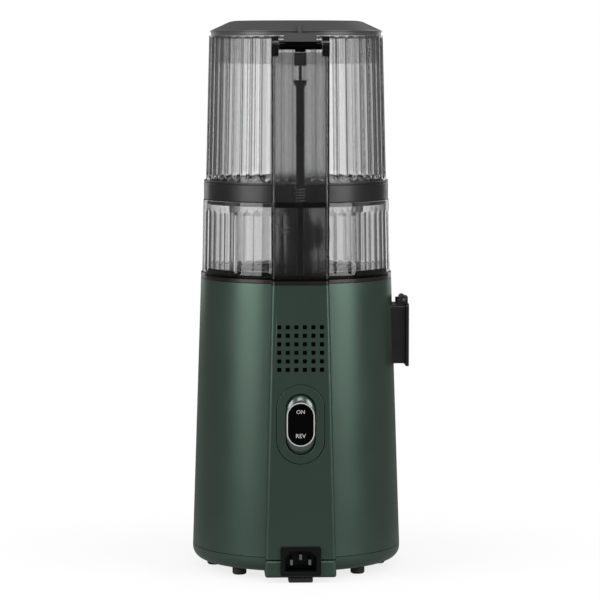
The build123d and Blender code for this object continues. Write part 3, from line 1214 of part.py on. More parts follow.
def drive_shaft():
    """Output carrier and drive shaft in one piece, with flats for the auger's socket at the top."""
    plate = disc(CARRIER_RADIUS, OUTPUT_CARRIER_BOTTOM, OUTPUT_CARRIER_TOP)
    for pin in carrier_pins(SECOND_GEAR_BOTTOM, OUTPUT_CARRIER_BOTTOM):
        plate += pin
    bearing_top = GEARBOX_COVER_BOTTOM + 1.0 + OUTPUT_BEARING_HEIGHT
    shaft = disc(OUTPUT_SHAFT_RADIUS, OUTPUT_CARRIER_TOP - 0.5, bearing_top)
    shaft += disc(OUTPUT_SHAFT_RADIUS - 0.5, bearing_top - 0.5, WELL_FLOOR_TOP + 2.0)
    hexagon = RegularPolygon(DRIVE_FLATS / 2, 6, major_radius=False)
    flats_bottom = WELL_FLOOR_TOP + 1.5
    flats = Pos(0, 0, flats_bottom) * extrude(hexagon, BOWL_BOTTOM + DRIVE_HEIGHT - 3 - flats_bottom)
    return plate + shaft + flats


def ring_gear():
    """Gearbox housing with the internal teeth that both stages share."""
    house = disc(GEARBOX_RADIUS, GEARBOX_BOTTOM, GEARBOX_COVER_BOTTOM)
    teeth = extrude(gear_outline(RING_TEETH, 0, internal=True), GEARBOX_COVER_BOTTOM - GEARBOX_BOTTOM + 2)
    return house - Pos(0, 0, GEARBOX_BOTTOM - 1) * teeth


def gearbox_cover():
    boss_top = GEARBOX_COVER_BOTTOM + 2.0 + OUTPUT_BEARING_HEIGHT
    cover = disc(GEARBOX_RADIUS, GEARBOX_COVER_BOTTOM, GEARBOX_COVER_TOP)
    cover += disc(OUTPUT_BEARING_RADIUS + 3.0, GEARBOX_COVER_BOTTOM, boss_top)
    cover -= disc(OUTPUT_BEARING_RADIUS, GEARBOX_COVER_BOTTOM + 1.0, boss_top - 1.0 + 2)
    return cover - disc(OUTPUT_BEARING_RADIUS - 4.0, GEARBOX_COVER_BOTTOM - 1, boss_top + 1)


def output_bearing():
    bottom = GEARBOX_COVER_BOTTOM + 1.0
    top = bottom + OUTPUT_BEARING_HEIGHT
    bearing = tube(OUTPUT_BEARING_RADIUS - BOLTED_GAP, OUTPUT_SHAFT_RADIUS + RUNNING_FIT, bottom, top)
    groove = (OUTPUT_BEARING_RADIUS + OUTPUT_SHAFT_RADIUS) / 2
    return bearing - tube(groove + 2.0, groove - 2.0, top - 1.0, top + 1)


def gearbox_dampers():
    pad = disc(DAMPER_RADIUS, GEARBOX_COVER_TOP, GEARBOX_COVER_TOP + DAMPER_HEIGHT, x=DAMPER_CIRCLE)
    return Compound(children=around(pad, 4, start=45))


# ---- Electronics ------------------------------------------------------------------------------------
def control_board():
    """Circuit board that stands in two grooved posts of the base cover, with its largest components."""
    half = BOARD_WIDTH / 2
    y_range = (BOARD_Y - BOARD_THICKNESS / 2, BOARD_Y + BOARD_THICKNESS / 2)
    board = block((-half, half), y_range, (BOARD_BOTTOM, BOARD_BOTTOM + BOARD_HEIGHT))
    face = y_range[1] - 0.2
    row = BOARD_BOTTOM + BOARD_HEIGHT * 0.54
    relay_x = -half + 6.0
    relay = block((relay_x, relay_x + RELAY_WIDTH), (face, face + RELAY_DEPTH), (row, row + RELAY_HEIGHT))
    choke_x = relay_x + RELAY_WIDTH + CHOKE_RADIUS + 4.0
    choke = rod_along_y(CHOKE_RADIUS, (face, face + CHOKE_DEPTH), choke_x, row + RELAY_HEIGHT / 2)
    can_x = half - 4.0 - CAPACITOR_WIDTH
    capacitor = block(
        (can_x, can_x + CAPACITOR_WIDTH), (face, face + CAPACITOR_DEPTH), (row, row + CAPACITOR_HEIGHT)
    )
    return board + relay + choke + capacitor


def interlock_switch():
    """Microswitch below the deck, under the plunger."""
    top = PLUNGER_BOTTOM - REST_GAP
    body_top = top - 2.0
    y_from = ROD_Y - 4 + REST_GAP
    switch = block((-8, 8), (y_from, y_from + 6.4), (body_top - 10, body_top))
    return switch + block((-1.5, 1.5), (ROD_Y - 1.0, ROD_Y + 1.0), (body_top - 0.5, top))


PIECES = {
    "lid_cover": lid_cover,
    "lid_liner": lid_liner,
    "lid_hinge_arm": lid_hinge_arm,
    "lid_hinge_pin": lid_hinge_pin,
    "hopper_body": hopper_body,
    "hopper_spine": hopper_spine,
    "hopper_collar": hopper_collar,
    "interlock_pusher": interlock_pusher,
    "interlock_rod": interlock_rod,
    "interlock_spring": interlock_spring,
    "drum_body": drum_body,
    "drum_spine": drum_spine,
    "drum_plunger": drum_plunger,
    "drum_seal": drum_seal,
    "strainer_frame": strainer_frame,
    "strainer_screen": strainer_screen,
    "auger": auger,
    "auger_socket": auger_socket,
    "trim_ring": trim_ring,
    "body_shell": body_shell,
    "bowl_seat": bowl_seat,
    "shaft_seal": shaft_seal,
    "base_cover": base_cover,
    "cover_screws": cover_screws,
    "rubber_feet": rubber_feet,
    "pulp_spout": pulp_spout,
    "pulp_flap": pulp_flap,
    "juice_spout": juice_spout,
    "juice_cap": juice_cap,
    "flap_pins": flap_pins,
    "switch_plate": switch_plate,
    "rocker_button": rocker_button,
    "rocker_face": rocker_face,
    "rocker_ring": rocker_ring,
    "rocker_pin": rocker_pin,
    "switch_module": switch_module,
    "inlet_housing": inlet_housing,
    "inlet_pins": inlet_pins,
    "motor_stator": motor_stator,
    "stator_windings": stator_windings,
    "motor_lower_bell": motor_lower_bell,
    "motor_upper_bell": motor_upper_bell,
    "motor_bearings": motor_bearings,
    "motor_rotor": motor_rotor,
    "motor_shaft": motor_shaft,
    "motor_fan": motor_fan,
    "ring_gear": ring_gear,
    "first_carrier": first_carrier,
    "drive_shaft": drive_shaft,
    "gearbox_cover": gearbox_cover,
    "output_bearing": output_bearing,
    "gearbox_dampers": gearbox_dampers,
    "control_board": control_board,
    "interlock_switch": interlock_switch,
}

os.makedirs("parts", exist_ok=True)
for name, make in PIECES.items():
    write(name, make())
for stage, gear_bottom in (("first", FIRST_GEAR_BOTTOM), ("second", SECOND_GEAR_BOTTOM)):
    for index in range(PLANET_COUNT):
        write(f"{stage}_planet_{index + 1}", planet(index, gear_bottom))
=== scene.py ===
# %% [markdown]
# # Dressing a cold press juicer
# The machine stands with its back to the camera: a green motor base with a raised back panel, a smoked drum
# and a smoked, fluted hopper on top of it, and a shallow lid. Every working piece comes in as a fixed frame.
# Each cell below gives one piece or one finish the look of the real thing. Sizes are in millimetres and are
# turned into Blender's metres by MM, so the numbers read as they would on a workshop drawing.

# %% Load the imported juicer
from math import atan2, cos, hypot, log, radians, sin, tau

import bmesh
import bpy
from mathutils import Matrix, Vector


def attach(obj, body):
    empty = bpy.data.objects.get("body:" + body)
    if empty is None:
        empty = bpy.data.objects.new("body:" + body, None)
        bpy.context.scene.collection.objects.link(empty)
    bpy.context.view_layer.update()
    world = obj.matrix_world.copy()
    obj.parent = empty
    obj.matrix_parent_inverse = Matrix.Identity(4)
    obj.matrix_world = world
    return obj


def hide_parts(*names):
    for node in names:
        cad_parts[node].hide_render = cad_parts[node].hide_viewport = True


MM = 0.001
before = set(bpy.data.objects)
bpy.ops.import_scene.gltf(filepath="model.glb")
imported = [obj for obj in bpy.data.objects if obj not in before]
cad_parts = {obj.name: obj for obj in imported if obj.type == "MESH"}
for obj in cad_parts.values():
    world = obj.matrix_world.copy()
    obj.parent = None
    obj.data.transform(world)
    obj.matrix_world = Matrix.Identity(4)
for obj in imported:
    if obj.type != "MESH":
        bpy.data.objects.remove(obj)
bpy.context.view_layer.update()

# %% [markdown]
# ## The camera
# A long lens far away keeps the tall, slim stack almost parallel, so its sides don't seem to lean. The camera
# looks at the back of the machine, a little from above and a little from one side.

# %% Camera
CAMERA_TURN, CAMERA_TILT = radians(2.4), radians(4.82)
CAMERA_PLACE = (0.0937, 2.3097, 0.4048)
LENS, SENSOR_WIDTH = 176.5, 36
camera = bpy.data.objects.new("camera", bpy.data.cameras.new("camera"))
camera.data.lens, camera.data.sensor_width = LENS, SENSOR_WIDTH
camera.location = CAMERA_PLACE
ahead = cos(CAMERA_TILT)
looking = Vector((-sin(CAMERA_TURN) * ahead, -cos(CAMERA_TURN) * ahead, -sin(CAMERA_TILT)))
camera.rotation_euler = looking.to_track_quat("-Z", "Y").to_euler()
bpy.context.scene.collection.objects.link(camera)
bpy.context.scene.camera = camera
print("camera stands", round(camera.location.length, 3), "m away")

# %% [markdown]
# ## Light and background
# Clear plastic and satin paint are drawn by what they reflect, so the studio matters more than the lamps'
# strength. Two tall softboxes stand beside the camera and leave one long highlight down each flank of the
# base. A smaller one hangs high above the camera and lights the slopes of the switch, and two weak ones serve
# the front. The lamps don't show through clear plastic, where they would leave white squares.
#
# The world is white where it is seen directly. Seen through plastic it has four dark flags, one on each
# diagonal of the compass: light bent at the edge of a flute comes from there, so every flute gets the dark
# line that makes clear plastic readable on white. In a mirrored surface the world is dim, and for matt ones
# it is an even fill.

# %% Colour handling and light bounces
scene = bpy.context.scene
scene.view_settings.view_transform = "Standard"
BOUNCES = 24
scene.cycles.max_bounces = BOUNCES
scene.cycles.transmission_bounces = BOUNCES
scene.cycles.transparent_max_bounces = BOUNCES
scene.cycles.blur_glossy = 0.0

# %% World
FILL_LEVEL = 0.5
MIRRORED_LEVEL = 0.13
FLAG_LEVEL = 0.12
FLAG_EDGE, FLAG_CORE = 0.12, 0.62
world = bpy.data.worlds.new("studio")
scene.world = world
world.use_nodes = True
sky = world.node_tree
sky.nodes.clear()


def sky_math(operation, *values):
    """One step of arithmetic in the world's nodes, on sockets or plain numbers."""
    step = sky.nodes.new("ShaderNodeMath")
    step.operation = operation
    for socket, value in zip(step.inputs, values):
        if isinstance(value, (int, float)):
            socket.default_value = value
        else:
            sky.links.new(value, socket)
    return step.outputs[0]


rays = sky.nodes.new("ShaderNodeLightPath").outputs
direction = sky.nodes.new("ShaderNodeTexCoord")
axes = sky.nodes.new("ShaderNodeSeparateXYZ")
sky.links.new(direction.outputs["Generated"], axes.inputs[0])
sideways = sky_math("MULTIPLY", axes.outputs["X"], axes.outputs["Y"])
diagonal = sky_math("ABSOLUTE", sky_math("MULTIPLY", sideways, 2.0))
flags = sky.nodes.new("ShaderNodeMapRange")
flags.interpolation_type = "SMOOTHSTEP"
flags.inputs["From Min"].default_value = FLAG_EDGE
flags.inputs["From Max"].default_value = FLAG_CORE
flags.inputs["To Min"].default_value = 1.0
flags.inputs["To Max"].default_value = FLAG_LEVEL
sky.links.new(diagonal, flags.inputs["Value"])
clear_view = sky_math("MULTIPLY", rays["Is Transmission Ray"], flags.outputs["Result"])
mirrored = sky_math("MULTIPLY", rays["Is Glossy Ray"], MIRRORED_LEVEL)
direct = sky_math("MAXIMUM", rays["Is Camera Ray"], sky_math("MAXIMUM", clear_view, mirrored))
fill = sky_math("MULTIPLY", rays["Is Diffuse Ray"], FILL_LEVEL)
backdrop = sky.nodes.new("ShaderNodeBackground")
backdrop.inputs["Color"].default_value = (1, 1, 1, 1)
sky.links.new(sky_math("MAXIMUM", direct, fill), backdrop.inputs["Strength"])
sky_out = sky.nodes.new("ShaderNodeOutputWorld")
sky.links.new(backdrop.outputs[0], sky_out.inputs["Surface"])


# %% Softboxes
LAMP_DISTANCE = 1.25
LAMP_AIM = Vector((0, 0, 0.22))


def softbox(name, bearing, height, width, tall, watts):
    """Lamp at a bearing in degrees from the machine's back, its sizes in metres, turned to face it."""
    lamp = bpy.data.lights.new(name, "AREA")
    lamp.shape = "RECTANGLE"
    lamp.size, lamp.size_y = width, tall
    lamp.energy = watts
    holder = bpy.data.objects.new(name, lamp)
    away = radians(bearing)
    holder.location = (LAMP_DISTANCE * sin(away), LAMP_DISTANCE * cos(away), height)
    aim = LAMP_AIM - holder.location
    holder.rotation_euler = aim.to_track_quat("-Z", "Y").to_euler()
    holder.visible_transmission = False
    scene.collection.objects.link(holder)
    print("softbox", name, "at bearing", bearing)


# The numbers are bearing, height, width, tallness and watts.
softbox("left_softbox", 59, 0.70, 0.80, 1.2, 12.6)
softbox("right_softbox", -54, 0.70, 0.76, 1.2, 12.0)
softbox("high_softbox", 0, 1.40, 0.5, 0.7, 4.0)
softbox("front_left_softbox", 152, 0.6, 0.4, 1.0, 1.4)
softbox("front_right_softbox", -152, 0.6, 0.4, 1.0, 1.6)

# %% [markdown]
# ## Floor
# One broad, pale disc. Near the machine it is mostly paper white and takes only a faint shadow. Further out
# it fades to the same white as the background, so no horizon line is left.

# %% Floor
FLOOR_RADIUS = 1.6
FLOOR_SHADE = 0.93
FADE_START, FADE_END = 0.10, 0.34
NEAR_WHITENESS = 0.80
MIRRORED_PAPER = 0.2
floor_mesh = bmesh.new()
bmesh.ops.create_circle(floor_mesh, cap_ends=True, segments=96, radius=FLOOR_RADIUS)
floor_data = bpy.data.meshes.new("floor")
floor_mesh.to_mesh(floor_data)
floor_mesh.free()
floor = bpy.data.objects.new("floor", floor_data)
scene.collection.objects.link(floor)
floor_finish = bpy.data.materials.new("pale_floor")
floor_finish.use_nodes = True
tree = floor_finish.node_tree
matt = tree.nodes["Principled BSDF"]
matt.inputs["Base Color"].default_value = (FLOOR_SHADE, FLOOR_SHADE, FLOOR_SHADE, 1)
matt.inputs["Roughness"].default_value = 0.9
paper = tree.nodes.new("ShaderNodeEmission")
looks = tree.nodes.new("ShaderNodeLightPath")
open_view = tree.nodes.new("ShaderNodeMath")
open_view.operation = "MAXIMUM"
tree.links.new(looks.outputs["Is Camera Ray"], open_view.inputs[0])
tree.links.new(looks.outputs["Is Transmission Ray"], open_view.inputs[1])
dimmed = tree.nodes.new("ShaderNodeMapRange")
dimmed.inputs["To Min"].default_value = MIRRORED_PAPER
tree.links.new(open_view.outputs[0], dimmed.inputs["Value"])
tree.links.new(dimmed.outputs["Result"], paper.inputs["Strength"])
place = tree.nodes.new("ShaderNodeTexCoord")
reach = tree.nodes.new("ShaderNodeVectorMath")
reach.operation = "LENGTH"
fade = tree.nodes.new("ShaderNodeMapRange")
fade.inputs["From Min"].default_value = FADE_START
fade.inputs["From Max"].default_value = FADE_END
fade.inputs["To Min"].default_value = NEAR_WHITENESS
fade.interpolation_type = "SMOOTHSTEP"
blend = tree.nodes.new("ShaderNodeMixShader")
tree.links.new(place.outputs["Object"], reach.inputs[0])
tree.links.new(reach.outputs["Value"], fade.inputs["Value"])
tree.links.new(fade.outputs["Result"], blend.inputs["Fac"])
tree.links.new(matt.outputs[0], blend.inputs[1])
tree.links.new(paper.outputs[0], blend.inputs[2])
tree.links.new(blend.outputs[0], tree.nodes["Material Output"].inputs["Surface"])
floor_finish.cycles.emission_sampling = "NONE"
floor_data.materials.append(floor_finish)

# %% [markdown]
# ## Finishes
# No real surface has one flat colour. Moulded plastic carries the fine texture of its tool, paint has
# flake in it, and metal keeps the marks of the wheel that cut it. One helper adds these: a fine grain
# for the bump, and a slow cloud that shifts colour and roughness a little, as handling does.


# %% Helpers for finishes
NOISE_LOW, NOISE_HIGH = 0.3, 0.7
GLOSS_DRIFT = 0.15


def new_finish(name):
    """Empty material with its Principled shader, and a coordinate that stays on the piece."""
    material = bpy.data.materials.new(name)
    material.use_nodes = True
    tree = material.node_tree
    place = tree.nodes.new("ShaderNodeTexCoord")
    return material, tree, tree.nodes["Principled BSDF"], place.outputs["Object"]


def noise(tree, place, size, detail=3.0, stretch=(1, 1, 1)):
    """Noise whose lumps are about one size across, in millimetres, and may be drawn out along an axis."""
    spacing = tree.nodes.new("ShaderNodeMapping")
    spacing.inputs["Scale"].default_value = [1 / (size * MM * s) for s in stretch]
    lumps = tree.nodes.new("ShaderNodeTexNoise")
    lumps.inputs["Scale"].default_value = 1.0
    lumps.inputs["Detail"].default_value = detail
    tree.links.new(place, spacing.inputs["Vector"])
    tree.links.new(spacing.outputs[0], lumps.inputs["Vector"])
    return lumps.outputs["Fac"]


def spread(tree, factor, low, high):
    """Map a noise's middle range onto two values."""
    scale = tree.nodes.new("ShaderNodeMapRange")
    scale.inputs["From Min"].default_value = NOISE_LOW
    scale.inputs["From Max"].default_value = NOISE_HIGH
    scale.inputs["To Min"].default_value = low
    scale.inputs["To Max"].default_value = high
    tree.links.new(factor, scale.inputs["Value"])
    return scale.outputs["Result"]


def tint(tree, factor, colour, change):
    """Colour that drifts lighter and darker by a share."""
    mix = tree.nodes.new("ShaderNodeMix")
    mix.data_type = "RGBA"
    mix.inputs[6].default_value = [c * (1 - change) for c in colour] + [1]
    mix.inputs[7].default_value = [min(1, c * (1 + change)) for c in colour] + [1]
    tree.links.new(factor, mix.inputs["Factor"])
    return mix.outputs[2]


def emboss(tree, shader, factor, depth, strength=1.0):
    """Raise the surface by a noise, to a depth in millimetres."""
    bump = tree.nodes.new("ShaderNodeBump")
    bump.inputs["Strength"].default_value = strength
    bump.inputs["Distance"].default_value = depth * MM
    tree.links.new(factor, bump.inputs["Height"])
    tree.links.new(bump.outputs["Normal"], shader.inputs["Normal"])


def surface(name, colour, rough, grain=0.5, depth=0.01, change=0.08, cloud=18.0, metal=0.0, stretch=(1, 1, 1),
            **sockets):
    """Finish with a fine grain, and slow changes of shade and gloss."""
    material, tree, shader, place = new_finish(name)
    fine = noise(tree, place, grain, 2.0, stretch)
    slow = noise(tree, place, cloud)
    tree.links.new(tint(tree, spread(tree, slow, 0, 1), colour, change), shader.inputs["Base Color"])
    duller, shinier = min(1.0, rough * (1 + GLOSS_DRIFT)), rough * (1 - GLOSS_DRIFT)
    tree.links.new(spread(tree, slow, shinier, duller), shader.inputs["Roughness"])
    emboss(tree, shader, fine, depth)
    shader.inputs["Metallic"].default_value = metal
    for socket, value in sockets.items():
        shader.inputs[socket.replace("_", " ")].default_value = value
    print("finish", name)
    return material


# %% [markdown]
# ### Satin green paint
# The base is sprayed in a dark green with fine metal flake under a satin top coat. The flake is what makes
# the long highlights glow and the rest fall dark. Noise a quarter of a millimetre across tips single flakes
# lighter and darker, and a slow, shallow ripple stands for the skin of sprayed paint. The switch key wears
# the same paint under a glossier coat.

# %% Green paint
PAINT_GREEN = (0.066, 0.105, 0.083)
KEY_GREEN = (0.13, 0.165, 0.145)
PAINT_METAL = 0.72
PAINT_SHEEN = (0.31, 0.37)
paint, tree, shader, place = new_finish("green_paint")
flake = noise(tree, place, 0.25, 1.0)
cloud = noise(tree, place, 30.0)
tree.links.new(tint(tree, spread(tree, flake, 0, 1), PAINT_GREEN, 0.10), shader.inputs["Base Color"])
tree.links.new(spread(tree, cloud, *PAINT_SHEEN), shader.inputs["Roughness"])
emboss(tree, shader, noise(tree, place, 1.6, 2.0), 0.004)
shader.inputs["Metallic"].default_value = PAINT_METAL

# %% Paint of the switch key
key_paint = surface("key_paint", KEY_GREEN, 0.19, grain=1.6, depth=0.003, change=0.05, metal=PAINT_METAL)

# %% [markdown]
# ### Smoked plastic
# Hopper and drum are thick, clear, grey plastic. Its grey comes from inside the wall, so it is absorption:
# light that crosses the wall straight loses little, and light that runs along it at the edges loses much.
# The shadow of clear plastic is pale, so rays that look for a lamp pass straight through.

# %% Smoked plastic
PLASTIC_IOR = 1.5
SHADOW_TINT = (0.86, 0.86, 0.86, 1)
SMOKE_GREY = 0.5
SMOKE_TINT = (SMOKE_GREY, SMOKE_GREY, 0.505, 1)


def smoked_finish(name, smoke, rough_low, rough_high, ripple=0.01):
    """Clear plastic with grey smoke in it, given as the share of light lost in each millimetre of wall."""
    material, tree, shader, place = new_finish(name)
    shader.inputs["Base Color"].default_value = (1, 1, 1, 1)
    shader.inputs["Transmission Weight"].default_value = 1.0
    shader.inputs["IOR"].default_value = PLASTIC_IOR
    tree.links.new(spread(tree, noise(tree, place, 14.0), rough_low, rough_high), shader.inputs["Roughness"])
    emboss(tree, shader, noise(tree, place, 9.0, 1.0), ripple, 0.5)
    straight = tree.nodes.new("ShaderNodeBsdfTransparent")
    straight.inputs["Color"].default_value = SHADOW_TINT
    rays = tree.nodes.new("ShaderNodeLightPath")
    through = tree.nodes.new("ShaderNodeMixShader")
    tree.links.new(rays.outputs["Is Shadow Ray"], through.inputs["Fac"])
    tree.links.new(shader.outputs[0], through.inputs[1])
    tree.links.new(straight.outputs[0], through.inputs[2])
    tree.links.new(through.outputs[0], tree.nodes["Material Output"].inputs["Surface"])
    inside = tree.nodes.new("ShaderNodeVolumeAbsorption")
    inside.inputs["Color"].default_value = SMOKE_TINT
    inside.inputs["Density"].default_value = -log(1 - smoke) / MM / (1 - SMOKE_GREY)
    tree.links.new(inside.outputs[0], tree.nodes["Material Output"].inputs["Volume"])
    print("finish", name)
    return material


smoked = smoked_finish("smoked_plastic", smoke=0.07, rough_low=0.004, rough_high=0.02)
frosted_smoke = smoked_finish("frosted_smoke", smoke=0.30, rough_low=0.16, rough_high=0.22)
dark_frost = smoked_finish("dark_frosted_smoke", smoke=0.42, rough_low=0.20, rough_high=0.28)

# %% [markdown]
# ### The other finishes
# Each is named for what it is on the machine. Dark plastics differ in how fine their tool texture is and how
# much they shine, and the metals in whether they were turned, stamped or drawn. Two of the blacks mirror less
# than the rest, so that they stay black under such large lamps. The inlet's black is darker still, as painted
# shade for its recess.

# %% Plastics and rubbers
satin_black = surface("satin_black_plastic", (0.012, 0.012, 0.0125), 0.33, grain=0.35, depth=0.012)
lid_plastic = surface("charcoal_lid_plastic", (0.066, 0.066, 0.068), 0.32, grain=0.45, depth=0.010,
                      change=0.05)
gloss_black = surface("gloss_black_plastic", (0.001, 0.001, 0.001), 0.09, grain=3.0, depth=0.004, cloud=40,
                      Specular_IOR_Level=0.1)
# Black plastic of the power inlet, made darker than the satin black as painted shade for its shadowed recess.
inlet_black_painted_shade = surface("inlet_black_painted_shade_plastic", (0.003, 0.0035, 0.0035), 0.30, grain=0.35, depth=0.010,
                     Specular_IOR_Level=0.25)
bronze_trim = surface("bronze_trim", (0.055, 0.047, 0.044), 0.26, grain=0.3, depth=0.006, metal=0.85)
strainer_plastic = surface("strainer_plastic", (0.018, 0.018, 0.018), 0.14, grain=0.6, depth=0.003)
auger_plastic = surface("auger_plastic", (0.024, 0.024, 0.025), 0.14, grain=1.2, depth=0.005)
rubber = surface("foot_rubber", (0.020, 0.020, 0.020), 0.75, grain=0.5, depth=0.03)
soft_silicone = surface("silicone", (0.30, 0.31, 0.31), 0.55, grain=0.8, depth=0.01, Subsurface_Weight=0.05)
nylon = surface("gear_nylon", (0.72, 0.70, 0.62), 0.40, grain=0.6, depth=0.012)
board = surface("board_green", (0.02, 0.13, 0.06), 0.35, grain=0.9, depth=0.02)
print_ink = surface("pale_ink", (0.62, 0.62, 0.62), 0.55, grain=0.15, depth=0.004)

# %% Metals
silver = surface("satin_ring", (0.60, 0.60, 0.60), 0.42, grain=0.2, depth=0.003, metal=0.25)
steel = surface("drawn_steel", (0.52, 0.52, 0.53), 0.26, grain=0.12, depth=0.004, metal=1.0,
                stretch=(1, 1, 14))
screen_steel = surface("screen_steel", (0.50, 0.50, 0.50), 0.32, grain=0.7, depth=0.08, metal=1.0)
cast_aluminium = surface("cast_aluminium", (0.58, 0.58, 0.59), 0.5, grain=1.1, depth=0.05, metal=1.0)
stacked_steel = surface("stacked_steel", (0.24, 0.24, 0.25), 0.45, grain=0.5, depth=0.05, metal=1.0,
                        stretch=(40, 40, 1))
copper_wire = surface("copper_wire", (0.60, 0.26, 0.13), 0.34, grain=0.6, depth=0.10, metal=1.0,
                      stretch=(1, 1, 9))
inlet_brass = surface("plated_brass", (0.40, 0.38, 0.34), 0.25, grain=0.3, depth=0.004, metal=1.0)

# %% [markdown]
# ## Dress the pieces that keep their shape
# Most inside pieces already have their true form. They only swap the plain finish that they came with for
# the full one, by way of the slot that the parts list gives each of them.

# %% Give every piece of the frame its finish
FINISHES = {
    "body_green": paint, "smoked_clear": smoked, "black_satin": satin_black, "charcoal": lid_plastic,
    "trim_bronze": bronze_trim, "black_gloss": gloss_black, "silver": silver, "steel": steel,
    "silicone": soft_silicone, "foot_rubber": rubber,
    "strainer_black": strainer_plastic, "screen_steel": screen_steel, "auger_black": auger_plastic,
    "nylon": nylon, "aluminium": cast_aluminium, "lamination": stacked_steel, "copper": copper_wire,
    "board_green": board, "inlet_brass": inlet_brass,
}
slot_of = {}
for name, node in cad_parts.items():
    slot_of[name] = node.material_slots[0].material.name.split(".")[0]
    for holder in node.material_slots:
        holder.material = FINISHES[holder.material.name.split(".")[0]]
print("dressed", len(slot_of), "pieces in", len(set(slot_of.values())), "finishes")

# %% [markdown]
# ## Main sizes
# Heights above the table and radii from the machine's axis, read from its frame. Every turned piece below is
# drawn from these and from its own walls and gaps.

# %% Heights and radii
LEDGE_Z, DRUM_TOP_Z = 233.0, 290.0
HOPPER_SEAT_Z, HOPPER_TOP_Z = 305.0, 417.5
LID_BASE_Z, LID_RIM_Z, LID_TOP_Z = 420.2, 421.6, 429.0
DRUM_LEDGE_RADIUS, DRUM_TOP_RADIUS = 73.8, 72.7
HOPPER_SEAT_RADIUS, HOPPER_TOP_RADIUS = 70.7, 68.0
COLLAR_RADIUS = 72.3
LID_RADIUS = 67.3
CLEAR_WALL = 2.5

# %% [markdown]
# ## Shaping tools
# Two tools make nearly every new piece. The first turns a drawn outline round the machine's axis, as a lathe
# would. The second takes a copy of a piece and eases its hard corners, because a moulded edge is never
# perfectly sharp, and the thin line of light on it is what makes a piece look real. Two small ones cut a
# shape at a height, and give one side of a height a finish of its own.


# %% Turn an outline
SHORTEST_WALL = 1.0
SUPPORT_GAP = 0.2
ROUNDING_STEPS = 4
SEAM_REACH = 1e-6


def draw_outline(bm, corners, closed=True):
    """Line through (radius, height, rounding) corners in millimetres, with the corners rounded off."""
    points = []
    for i, (radius, height, rounding) in enumerate(corners):
        here = Vector((radius, 0, height))
        last = not closed and i == len(corners) - 1
        next_radius, next_height, next_rounding = corners[(i + 1) % len(corners)]
        beyond = Vector((next_radius, 0, next_height))
        points.append((here, rounding))
        way = beyond - here
        if last or way.length < rounding + next_rounding + SHORTEST_WALL:
            continue
        # A point just past each rounding keeps the long, straight wall shaded straight.
        if rounding:
            points.append((here + way.normalized() * (rounding + SUPPORT_GAP), 0))
        if next_rounding:
            points.append((beyond - way.normalized() * (next_rounding + SUPPORT_GAP), 0))
    line = [bm.verts.new(place * MM) for place, _ in points]
    for a, b in zip(line, line[1:] + line[:1] if closed else line[1:]):
        bm.edges.new((a, b))
    for point, (_, rounding) in zip(line, points):
        if rounding:
            bmesh.ops.bevel(bm, geom=[point], offset=rounding * MM, offset_type="OFFSET", affect="VERTICES",
                            segments=ROUNDING_STEPS, profile=0.5, material=-1)


def turn(bm, steps=144):
    """Spin the outline a full turn about the machine's axis."""
    bmesh.ops.spin(bm, geom=bm.verts[:] + bm.edges[:], cent=(0, 0, 0), axis=(0, 0, 1), angle=tau,
                   space=Matrix(), steps=steps, use_merge=True, use_normal_flip=False, use_duplicate=False)
    bmesh.ops.remove_doubles(bm, verts=bm.verts, dist=SEAM_REACH)
    bmesh.ops.recalc_face_normals(bm, faces=bm.faces)


# %% Make a finished piece
def make_piece(name, bm, finish, body, stands_for=(), crease=35):
    """Turn a modelled shape into a piece that rides on a body. Edges sharper than the crease stay crisp."""
    for face in bm.faces:
        face.smooth = True
    for edge in bm.edges:
        edge.smooth = edge.calc_face_angle(0) < radians(crease)
    mesh = bpy.data.meshes.new(name)
    bm.to_mesh(mesh)
    bm.free()
    if "custom_normal" in mesh.attributes:
        mesh.attributes.remove(mesh.attributes["custom_normal"])
    mesh.materials.append(finish)
    piece = bpy.data.objects.new(name, mesh)
    scene.collection.objects.link(piece)
    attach(piece, body)
    if stands_for:
        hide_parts(*stands_for)
    print("made", name, "with", len(mesh.polygons), "faces")
    return piece


# %% Ease the corners of a piece
SHARP_EDGE = 32
SAME_POINT = 0.001
FLAT_WITHIN = radians(0.3)


def merged_copy(node, flatten=True):
    """Copy of a piece of the frame, with its loose triangles joined and its flat faces made whole."""
    bm = bmesh.new()
    bm.from_mesh(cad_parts[node].data)
    bmesh.ops.remove_doubles(bm, verts=bm.verts, dist=SAME_POINT * MM)
    if flatten:
        bmesh.ops.dissolve_limit(bm, angle_limit=FLAT_WITHIN, verts=bm.verts, edges=bm.edges)
    return bm


def round_edges(piece, rounding, segments=2):
    """Round every sharp edge of a piece, to a radius in millimetres."""
    rounder = piece.modifiers.new("eased_edges", "BEVEL")
    rounder.width = rounding * MM
    rounder.segments = segments
    rounder.limit_method = "ANGLE"
    rounder.angle_limit = radians(SHARP_EDGE)
    rounder.harden_normals = True


def ease(node, rounding, body, finish=None, segments=2, flatten=True):
    """Stand in for a piece with a copy whose hard corners are rounded."""
    bm = merged_copy(node, flatten)
    slot = slot_of[node]
    piece = make_piece(node + "_eased", bm, finish or FINISHES[slot], body, [node], SHARP_EDGE)
    round_edges(piece, rounding, segments)


# %% Cut at a height, and change finish at a height
def cut_level(bm, height, drop_above=False):
    """Cut a shape across at a height in millimetres, and drop what is above the cut if asked."""
    bmesh.ops.bisect_plane(bm, geom=bm.verts[:] + bm.edges[:] + bm.faces[:], dist=1e-7,
                           plane_co=(0, 0, height * MM), plane_no=(0, 0, 1), clear_outer=drop_above)


def second_finish(piece, finish, height, above):
    """Give another finish to the faces above, or else below, a height in millimetres."""
    piece.data.materials.append(finish)
    for face in piece.data.polygons:
        face.material_index = int((face.center.z > height * MM) == above)


# %% [markdown]
# ## The fluted hopper
# The hopper is a tapered tube with fifty upright flutes on its outside. Each is a shallow hollow that meets
# the next in a fine ridge, and three finer reeds lie in it. Its ends die out in a half round, longer at the
# foot than under the lid. The tube is turned with sixteen steps to a flute, and then every point of the outer
# wall is pushed in by the depth of the hollow at its place.

